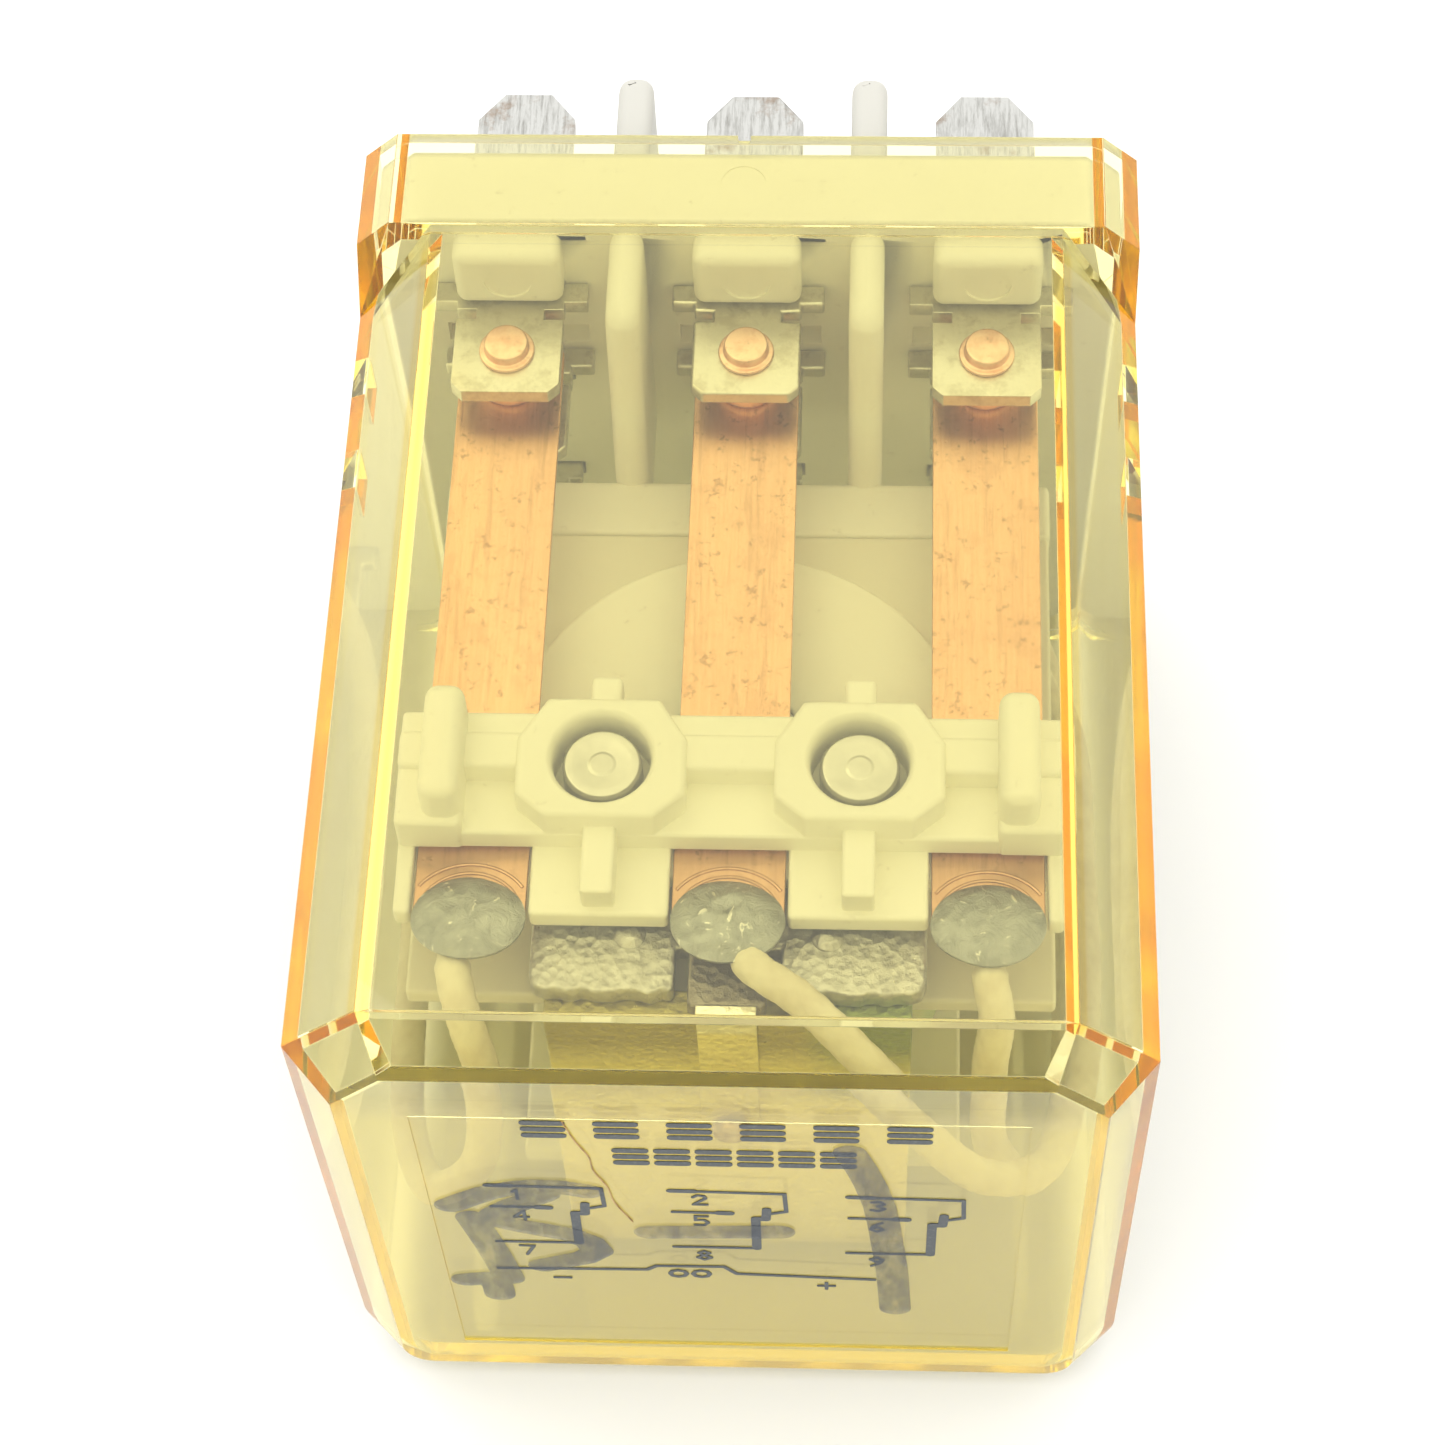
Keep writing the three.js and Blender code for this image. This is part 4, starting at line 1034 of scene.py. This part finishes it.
def blade_slot(x, depth):
    """What is cut out of the base for one blade."""
    across = BLADE_WIDTH / 2 + SLOT_GAP
    down = BLADE_THICKNESS / 2 + SLOT_GAP
    return box_part(x - across, x + across, BASE_INNER - 3 * THROUGH, BASE_OUTER + THROUGH,
                    depth - down, depth + down)


def make_base():
    """Slab, barrier ribs, cross bridge, frame ledge and contact blocks, less slots and marks."""
    solids = [base_slab()]
    for s in SIDES:
        solids += barrier_ribs(s * RIB_X)
    solids.append(box_part(-BRIDGE["half"], BRIDGE["half"], BRIDGE["start"], BRIDGE["end"],
                           BRIDGE["top"], BRIDGE["bottom"], 0.3, 3))
    solids.append(box_part(-LEDGE["half"], LEDGE["half"], LEDGE["start"], JOINED,
                           LEDGE["top"], LEDGE["bottom"], 0.2, 3))
    for x in POLES:
        solids.append(box_part(x - BLOCK["half"], x + BLOCK["half"], BLOCK["start"], JOINED,
                               BLOCK["top"], BLOCK["bottom"], BLOCK["round"], 5))
    cuts = [blade_slot(x, depth) for x in POLES for depth in (NC_DEPTH, NO_DEPTH, COMMON_DEPTH)]
    cuts += [blade_slot(s * POLE_PITCH, COIL_BLADE_DEPTH) for s in SIDES]
    for x in POLES:
        cuts.append(box_part(x - RECESS["half"], x + RECESS["half"], BASE_INNER - 0.1,
                             BASE_INNER + THROUGH, RECESS["top"], RECESS["bottom"]))
        cuts.append(disc_part(x, BLOCK["start"] - 0.1, BLOCK["start"] + EJECTOR_MARK["deep"],
                              EJECTOR_MARK["depth"], EJECTOR_MARK["radius"]))
    for s in SIDES:
        cuts.append(bore(s * FRAME_RIVET_X, FRAME_RIVET_ALONG, FRAME_RIVET_HOLE,
                         LEDGE["top"] - THROUGH, LEDGE["bottom"] + THROUGH))
    cuts.append(bore(GATE_MARK["x"], GATE_MARK["along"], GATE_MARK["radius"],
                     BASE_TOP - 0.5, BASE_TOP + GATE_MARK["deep"]))
    base = fuse("base", solids, cuts)
    finish_piece(base, "base", "moulded_base")


# ---------------------------------------------------------------- terminals and contacts
def make_terminals():
    """All fixed terminals, softened from their CAD shapes."""
    for node in sorted(frame["nodes"]):
        if "terminal" in node:
            piece = refined(node, 0.14, 3)
            finish_piece(piece, node)


FIXED_CONTACT = {"button": 0.7, "shank": 1.0, "head": 0.72}
NC_HEAD = {"radius": 1.02, "collar": 1.3, "collar_high": 0.2}
NO_HEAD_RADIUS = 1.05
MOVING_CONTACT = {"button": 0.75, "shank": 0.8}


def contact(x, profile, softness, node):
    """One turned rivet at the contact's place on a pole."""
    piece = turned_part(x, CONTACT_ALONG, soft_profile(profile, softness))
    finish_piece(piece, node)


def make_contacts():
    """Rivets of each pole: the upper fixed one, the lower fixed one and the moving one."""
    half = BLADE_THICKNESS / 2
    button, shank, head = (FIXED_CONTACT[size] for size in ("button", "shank", "head"))
    collar, collar_high = NC_HEAD["collar"], NC_HEAD["collar_high"]
    for index, x in enumerate(POLES):
        top, bottom = NC_DEPTH - half, NC_DEPTH + half
        contact(x, [
            (0, top - head), (NC_HEAD["radius"], top - head), (NC_HEAD["radius"], top - collar_high),
            (collar, top - collar_high), (collar, top), (shank, top), (shank, bottom),
            (CONTACT_RADIUS, bottom), (CONTACT_RADIUS, bottom + button), (0, bottom + button),
        ], 0.11, f"nc_contact_{index + 1}")
        top, bottom = NO_PLATE_DEPTH - half, NO_PLATE_DEPTH + half
        contact(x, [
            (0, top - button), (CONTACT_RADIUS, top - button), (CONTACT_RADIUS, top), (shank, top),
            (shank, bottom), (NO_HEAD_RADIUS, bottom), (NO_HEAD_RADIUS, bottom + head),
            (0, bottom + head),
        ], 0.22, f"no_contact_{index + 1}")
        top, bottom = SPRING_DEPTH, SPRING_DEPTH + SPRING_THICKNESS
        reach, neck = MOVING_CONTACT["button"], MOVING_CONTACT["shank"]
        contact(x, [
            (0, top - reach), (CONTACT_RADIUS, top - reach), (CONTACT_RADIUS, top), (neck, top),
            (neck, bottom), (CONTACT_RADIUS, bottom), (CONTACT_RADIUS, bottom + reach),
            (0, bottom + reach),
        ], 0.25, f"moving_contact_{index + 1}")


# ---------------------------------------------------------------- contact carrier
UPPER_BOTTOM = SPRING_DEPTH - 0.1
LOWER_TOP = SPRING_DEPTH + SPRING_THICKNESS + 0.1
CARRIER = {"half": 14.5, "start": 13.5, "end": 19.1, "top": 5.6, "bottom": 9.3,
           "lower_start": 12.4}
TIER_DEPTH = 6.55
BACK_BAR_START = 17.8
RIDGE = {"start": 16.1, "end": 17.9, "top": CARRIER["top"] - 0.35}
SKIRT = {"start": 10.2, "end": 14.5, "top": 7.7, "bottom": 8.9}
WEB = {"half": 0.72, "start": 10.35, "foot": 10.6, "top": 5.9}
TAB = {"half": 0.7, "end": 21.2, "bottom": 7.3}
BOSS = {"half": 3.7, "front": 13.55, "back": 19.45, "top": 4.9, "floor": 7.3, "hole": 2.15}
POST = {"x": 12.45, "half": 0.88, "start": 13.7, "end": 19.3, "top": 3.4, "bottom": 7.0}
POST_FOOT = {"inner": 11.57, "start": 13.4}
SPRING_POCKET = 2.57


def boss_outline(x):
    """Octagon round a carrier rivet, its back corners cut longer than its front ones."""
    half, front, back = BOSS["half"], BOSS["front"], BOSS["back"]
    made = []
    for s in SIDES:
        side = [(x + s * (half - 1.35), front), (x + s * half, front + 1.15),
                (x + s * half, back - 2.0), (x + s * (half - 1.25), back)]
        made += side if s > 0 else side[::-1]
    return made


def carrier_bars():
    """The bars across the whole width: front tier, back bar, ridge and lower plate."""
    half, end = CARRIER["half"], CARRIER["end"]
    return [
        box_part(-half, half, CARRIER["start"], end, TIER_DEPTH, UPPER_BOTTOM, 0.22),
        box_part(-half, half, BACK_BAR_START, end, CARRIER["top"], UPPER_BOTTOM, 0.25),
        box_part(-half, half, RIDGE["start"], RIDGE["end"], RIDGE["top"], UPPER_BOTTOM, 0.25),
        box_part(-half, half, CARRIER["lower_start"], end, LOWER_TOP, CARRIER["bottom"], 0.2),
    ]


def carrier_side(s):
    """Boss, web, tab, skirt plates, post and post foot on one side of the middle."""
    x = s * CARRIER_RIVET_X
    half, end = CARRIER["half"], CARRIER["end"]
    web_bottom = SKIRT["top"] + 0.2
    solids = [
        prism_part(rounded(boss_outline(x), 0.35), BOSS["top"], UPPER_BOTTOM, 0.28, 3),
        profile_part(
            [(WEB["start"], WEB["top"]), (SKIRT["end"], WEB["top"]), (SKIRT["end"], web_bottom),
             (WEB["foot"], web_bottom)], x - WEB["half"], x + WEB["half"], 0.2, 3),
        box_part(x - TAB["half"], x + TAB["half"], end - 1, TAB["end"], WEB["top"], TAB["bottom"],
                 0.3, 4),
    ]
    for near, far in ((SPRING_POCKET, POLE_PITCH - SPRING_POCKET),
                      (POLE_PITCH + SPRING_POCKET, half)):
        x0, x1 = sorted((s * near, s * far))
        solids.append(box_part(x0, x1, SKIRT["start"], SKIRT["end"], SKIRT["top"],
                               SKIRT["bottom"], 0.22))
        solids.append(box_part(x0, x1, CARRIER["lower_start"], end, SKIRT["top"],
                               CARRIER["bottom"], 0.15))
    x0, x1 = sorted((s * POST_FOOT["inner"], s * half))
    solids.append(box_part(x0, x1, POST_FOOT["start"], end, CARRIER["top"], UPPER_BOTTOM, 0.3, 4))
    post = s * POST["x"]
    solids.append(box_part(post - POST["half"], post + POST["half"], POST["start"], POST["end"],
                           POST["top"], POST["bottom"], 0.62, 6))
    return solids


def carrier_cuts(x):
    """The boss's well, which flares to a wider mouth, and the rivet hole below it."""
    hole, floor = BOSS["hole"], BOSS["floor"]
    well = turned_part(x, CARRIER_RIVET_ALONG, [
        (0, 4.0), (2.5, 4.0), (2.5, BOSS["top"] - 0.03), (2.34, 4.95), (2.21, 5.12), (hole, 5.4),
        (hole, floor), (0, floor)])
    return [well, bore(x, CARRIER_RIVET_ALONG, CARRIER_RIVET_HOLE, 7.0, CARRIER["bottom"] + THROUGH)]


def make_carrier():
    """The moulding that clamps the springs to the armature."""
    solids = carrier_bars()
    cuts = []
    for s in SIDES:
        solids += carrier_side(s)
        cuts += carrier_cuts(s * CARRIER_RIVET_X)
    finish_piece(fuse("carrier", solids, cuts), "contact_carrier")


def make_carrier_rivets():
    """Two steel rivets: a faint ring in the head, a collar and a shank through the armature."""
    for s, side in ((-1, "left"), (1, "right")):
        rivet = turned_part(s * CARRIER_RIVET_X, CARRIER_RIVET_ALONG, soft_profile([
            (0, 5.62), (0.5, 5.61), (0.62, 5.66), (1.3, 5.6), (1.62, 5.6), (1.75, 5.78),
            (1.75, 7.25), (1.2, 7.25), (1.2, 10.7), (0, 10.7)], 0.05))
        finish_piece(rivet, f"carrier_rivet_{side}")


# ---------------------------------------------------------------- springs and solder
def make_springs():
    """Each pole's contact spring and the solder on its tail."""
    for index, x in enumerate(POLES):
        finish_piece(contact_spring(x), f"contact_spring_{index + 1}", angle=40)
        finish_piece(solder_lens(x, index), f"solder_joint_{index + 1}", angle=50)


SPRING = {"half": 2.45, "start": 9.2, "end": 40.9, "tail_corner": 1.4, "tip_corner": 0.7}
RIDGES = {"reaches": (2.0, 2.42), "wider": 1.12, "along": 10.3, "radius": 0.09, "margin": 0.12}
RIDGE_ANGLES = [math.radians(22 + 136 * k / 24) for k in range(25)]


def pressed_ridge(x, reach):
    """An arc pressed up round the solder spot, as far as the spring is wide."""
    across = RIDGES["wider"] * reach
    limit = SPRING["half"] - RIDGES["margin"]
    arc = [(x + across * math.cos(angle), RIDGES["along"] + reach * math.sin(angle),
            SPRING_DEPTH + 0.02)
           for angle in RIDGE_ANGLES if across * abs(math.cos(angle)) < limit]
    return part_from(tube_mesh(arc, lambda turn, run: RIDGES["radius"], 8))


def contact_spring(x):
    """Flat copper spring with a rounded tail and the two ridges pressed round its solder spot."""
    half, start, end = SPRING["half"], SPRING["start"], SPRING["end"]
    tail, tip = SPRING["tail_corner"], SPRING["tip_corner"]
    bottom = SPRING_DEPTH + SPRING_THICKNESS
    outline = rounded([(x - half, start), (x + half, start), (x + half, end), (x - half, end)],
                      [tail, tail, tip, tip])
    ridges = [pressed_ridge(x, reach) for reach in RIDGES["reaches"]]
    spring = prism_part(outline, SPRING_DEPTH, bottom, 0.06, 3)
    hole = bore(x, CONTACT_ALONG, MOVING_CONTACT["shank"], SPRING_DEPTH - THROUGH, bottom + THROUGH)
    return fuse("spring", [spring, *ridges], [hole])


def solder_lens(x, index):
    """A flat lens of solder with a crisp rim, an uneven outline and a few frozen ripples."""
    half_x, half_along, centre, rim, crown = 2.53, 2.0, 10.05, 0.14, 0.6
    facets, steps = 64, 16
    seat = SPRING_DEPTH - 0.02
    bm = bmesh.new()
    rings = []
    for step in range(steps + 1):
        share = step / steps
        ring = []
        for turn in turns(facets if step else 1):
            lobe = 1 - 0.04 * (0.5 + noise.noise(Vector((math.cos(turn), math.sin(turn), 3 * index))))
            across = half_x * share * lobe * math.cos(turn)
            ahead = half_along * share * lobe * math.sin(turn)
            ripple = noise.noise(Vector((across * 1.3, ahead * 1.3, 5.0 * index + 1)))
            crease = abs(noise.noise(Vector((across * 0.9, ahead * 0.9, 7.0 * index + 4))))
            swell = crown * (1 - share ** 2.4)
            high = rim + swell + (0.10 * ripple + 0.14 * (0.3 - crease)) * (1 - share ** 3)
            ring.append(bm.verts.new(point(x + across, centre + ahead, seat - high)))
        rings.append(ring)
    rings.append([
        bm.verts.new(Vector((v.co.x, v.co.y, point(0, 0, seat).z))) for v in rings[-1]])
    join_rings(bm, rings)
    bm.faces.new(rings[-1])
    return part_from(bm)


# ---------------------------------------------------------------- armature and return spring
ARMATURE = {"half": 8.6, "front": 7.5, "back": 21.4, "nose": 2.3, "nose_end": 24.6,
            "notch": 9.6, "tongue": 1.7, "tongue_front": 6.8, "corner": 0.75}
PIP = {"x": 4.3, "along": 10.2}
RETURN_SPRING = {"half": 1.3, "back": 6.4, "thick": 0.22, "foot": 22.0, "lip": 6.7, "top": 9.2}


def ragged(x0, x1, along, size, spacing=0.3):
    """A sheared edge from x0 to x1 that wanders by about size."""
    steps = round(abs(x1 - x0) / spacing)
    made = []
    for step in range(1, steps):
        x = x0 + (x1 - x0) * step / steps
        made.append((x, along + size * noise.noise(Vector((x * 1.3, 2.7, 0.4)))))
    return made


def armature_outline():
    """The plate seen from above: ragged hinge edge, tongue in its notch, and a nose at the back."""
    half, front, back, corner = (ARMATURE[size] for size in ("half", "front", "back", "corner"))
    nose, nose_end, notch = ARMATURE["nose"], ARMATURE["nose_end"], ARMATURE["notch"]
    tongue, tongue_front = ARMATURE["tongue"], ARMATURE["tongue_front"]
    left = [(-half, front + corner), (-half + 0.22, front + 0.22), (-half + corner, front)]
    left += ragged(-half + corner, -nose - 0.2, front, 0.34)
    left += [(-nose - 0.2, front), (-nose, front + 0.2), (-nose, notch), (-tongue, notch)]
    left += [(-tongue, tongue_front + 0.2), (-tongue + 0.2, tongue_front)]
    right = [(-x, along) for x, along in reversed(left)]
    right = [(x, along + 0.1 * noise.noise(Vector((x, 1.0, 5.0)))) if front < along < front + 0.3
             else (x, along) for x, along in right]
    rear = [(half, back - 0.5), (half - 0.5, back), (nose, back), (nose, nose_end - 0.4),
            (nose - 0.4, nose_end)]
    return left + right + rear + [(-x, along) for x, along in reversed(rear)]


def make_armature():
    """The armature plate with two pressed pips and the holes for the carrier rivets."""
    top, bottom = ARMATURE_DEPTH, ARMATURE_DEPTH + ARMATURE_THICKNESS
    solids = [prism_part(armature_outline(), top, bottom, 0.16, 3, 50)]
    for s in SIDES:
        solids.append(turned_part(s * PIP["x"], PIP["along"], [
            (0, top - 0.34), (0.3, top - 0.32), (0.55, top - 0.22), (0.7, top - 0.05),
            (0.74, top + 0.3), (0, top + 0.3)]))
    cuts = [bore(s * CARRIER_RIVET_X, CARRIER_RIVET_ALONG, CARRIER_RIVET_HOLE, top - THROUGH,
                 bottom + THROUGH) for s in SIDES]
    finish_piece(fuse("armature", solids, cuts), "armature")


def make_return_spring():
    """The leaf on the yoke's front, bent over the armature's tongue, and its rivet."""
    back, thickness, foot = RETURN_SPRING["back"], RETURN_SPRING["thick"], RETURN_SPRING["foot"]
    lip, top, half = RETURN_SPRING["lip"], RETURN_SPRING["top"], RETURN_SPRING["half"]
    front = back - thickness
    outline = rounded(
        [(back, foot), (front, foot), (front, top), (lip, top), (lip, top + thickness),
         (back, top + thickness)], [0.05, 0.05, 0.55, 0.05, 0.05, 0.35], 7)
    leaf = profile_part(outline, -half, half, 0.05, 2, 40)
    finish_piece(leaf, "return_spring", material=LEAF)
    finish_piece(refined("return_spring_rivet", 0.14, 4), "return_spring_rivet", material=BRONZE)


# ---------------------------------------------------------------- magnet frame and coil
YOKE = {"half": 8, "front": 6.5, "thick": 1.7, "top": 10.75, "leg_top": 32.3, "leg_bottom": 34.0,
        "end": 41.4, "core_hole": 2.3}
TAPE = {"inner": 9.85, "outer": 10.15, "top": 13.5, "bottom": 30.8, "seam": 4.9, "creep": 0.12,
        "wrinkle": 0.05}
COIL_WIRE_RADIUS = 0.28


def make_magnet():
    """The bent yoke with its holes, the core and the two rivets that hold the yoke to the base."""
    front, back, top, end = YOKE["front"], YOKE["front"] + YOKE["thick"], YOKE["top"], YOKE["end"]
    leg_top, leg_bottom = YOKE["leg_top"], YOKE["leg_bottom"]
    outline = rounded(
        [(front, top), (back, top), (back, leg_top), (end, leg_top), (end, leg_bottom),
         (front, leg_bottom)], [0.15, 0.15, 0.5, 0.15, 0.15, 2.0], 7)
    holes = [(0, COIL_ALONG, YOKE["core_hole"])]
    holes += [(s * FRAME_RIVET_X, FRAME_RIVET_ALONG, FRAME_RIVET_HOLE) for s in SIDES]
    cuts = [bore(x, along, radius, leg_top - THROUGH, leg_bottom + THROUGH)
            for x, along, radius in holes]
    yoke = fuse("yoke", [profile_part(outline, -YOKE["half"], YOKE["half"], 0.18, 3, 40)], cuts)
    finish_piece(yoke, "yoke")
    for node in ("core", "frame_rivet_left", "frame_rivet_right"):
        finish_piece(refined(node, 0.15), node, angle=40)


def tape_ring(facets=96, rows=18):
    """Tape wound round the coil: it creeps outwards over one turn and ends in a step."""
    top, bottom = TAPE["top"], TAPE["bottom"]
    bm = bmesh.new()
    rings = []
    for row in range(rows + 1):
        depth = top + (bottom - top) * row / rows
        ring = []
        for turn in turns(facets):
            creep = ((turn - TAPE["seam"]) / (2 * math.pi)) % 1
            wrinkle = noise.noise(Vector((6 * math.cos(turn), 6 * math.sin(turn), depth * 0.35)))
            reach = TAPE["outer"] - TAPE["creep"] * creep - TAPE["wrinkle"] * (0.5 + 0.5 * wrinkle)
            ring.append(bm.verts.new(
                point(reach * math.cos(turn), COIL_ALONG + reach * math.sin(turn), depth)))
        rings.append(ring)
    for depth in (bottom, top):
        rings.append(ring_at(bm, 0, COIL_ALONG, depth, TAPE["inner"], facets))
    join_rings(bm, [*rings, rings[0]])
    return part_from(bm)


def make_coil():
    """Bobbin, winding, tape and the two wires that run from the winding to the coil blades."""
    finish_piece(refined("bobbin", 0.2), "bobbin")
    finish_piece(refined("coil_winding", 0), "coil_winding", angle=40)
    finish_piece(tape_ring(), "coil_tape", angle=40)
    for end, s in (("a", -1), ("b", 1)):
        route = [(s * 8.6, 27.6, 30.0), (s * 10.2, 31.0, 29.6), (s * 11.0, 34.5, 29.2),
                 (s * POLE_PITCH, 38.2, COIL_BLADE_DEPTH)]
        wire = part_from(
            tube_mesh(smooth_route(route, 0.3), lambda turn, run: COIL_WIRE_RADIUS, 14))
        finish_piece(wire, f"coil_lead_{end}", angle=50)


# ---------------------------------------------------------------- flexible leads
LEAD_RADIUS = 0.8
LEAD_ROUTES = [
    [(-11.8, 8.0, 8.9), (-11.3, 6.2, 9.8), (-10.6, 4.7, 12.4), (-11.2, 3.4, 17.0),
     (-13.6, 4.0, 20.8), (-15.2, 8.0, 22.6), (-15.5, 15.0, 22.8), (-15.4, 24.0, 22.4),
     (-14.4, 32.0, 21.6), (-12.2, 36.6, 20.95), (-11.4, 38.1, 20.9)],
    [(1.1, 8.15, 8.25), (3.2, 6.8, 8.7), (5.9, 4.7, 10.0), (8.4, 3.3, 12.4), (11.2, 2.6, 15.4),
     (14.0, 4.2, 17.6), (15.4, 9.5, 18.5), (15.5, 18.0, 18.4), (14.8, 27.0, 18.6),
     (11.0, 33.6, 19.4), (4.6, 36.2, 20.6), (1.2, 37.0, 20.9), (0.3, 38.1, 20.9)],
    [(11.3, 8.0, 8.9), (11.6, 6.6, 9.8), (11.4, 5.6, 12.4), (11.7, 5.3, 18.2), (13.4, 5.4, 21.8),
     (15.1, 8.5, 23.2), (15.5, 16.0, 23.2), (15.4, 25.0, 22.8), (14.4, 32.0, 21.8),
     (12.2, 36.6, 20.95), (11.4, 38.1, 20.9)],
]
LEAD_TAILS = [
    [(-11.9, 10.4, 8.66), (-11.85, 9.2, 8.7)],
    [(0.1, 10.4, 8.66), (0.5, 9.3, 8.62)],
    [(11.3, 10.4, 8.66), (11.3, 9.2, 8.7)],
]
TAIL_LENGTH = 2.2
TAIL_SQUEEZE = 0.56


def braid(turn, run):
    """Radius of a braided sleeve: two sets of strands that cross, squeezed thin at the joint."""
    strands, lay, relief = 6, 3.2, 0.03
    one = math.sin(strands * turn + 2 * math.pi * strands * run / (lay * 2))
    other = math.sin(strands * turn - 2 * math.pi * strands * run / (lay * 2))
    squeeze = 1 - TAIL_SQUEEZE * max(0, 1 - run / TAIL_LENGTH) ** 0.7
    return (LEAD_RADIUS - relief + relief * max(one, other)) * squeeze


def make_leads():
    """Each lead follows its CAD route; a squeezed tail takes it on under its solder joint."""
    for index, route in enumerate(LEAD_ROUTES):
        places = smooth_route(LEAD_TAILS[index] + route, 0.13)
        lead = part_from(tube_mesh(places, braid, 24))
        finish_piece(lead, f"pole_lead_{index + 1}", angle=60)


# ---------------------------------------------------------------- the scene
def set_light_paths():
    """Many bounces, because light crosses and re-enters the cover's walls many times."""
    scene = bpy.context.scene
    scene.view_settings.view_transform = "Standard"
    scene.cycles.max_bounces = 96
    scene.cycles.diffuse_bounces = 16
    scene.cycles.glossy_bounces = 80
    scene.cycles.transmission_bounces = 48


set_light_paths()
add_camera()
add_studio()
make_cover()
make_base()
make_terminals()
make_contacts()
make_carrier()
make_carrier_rivets()
make_springs()
make_armature()
make_return_spring()
make_magnet()
make_coil()
make_leads()
make_print()
make_marker()
make_fibre()
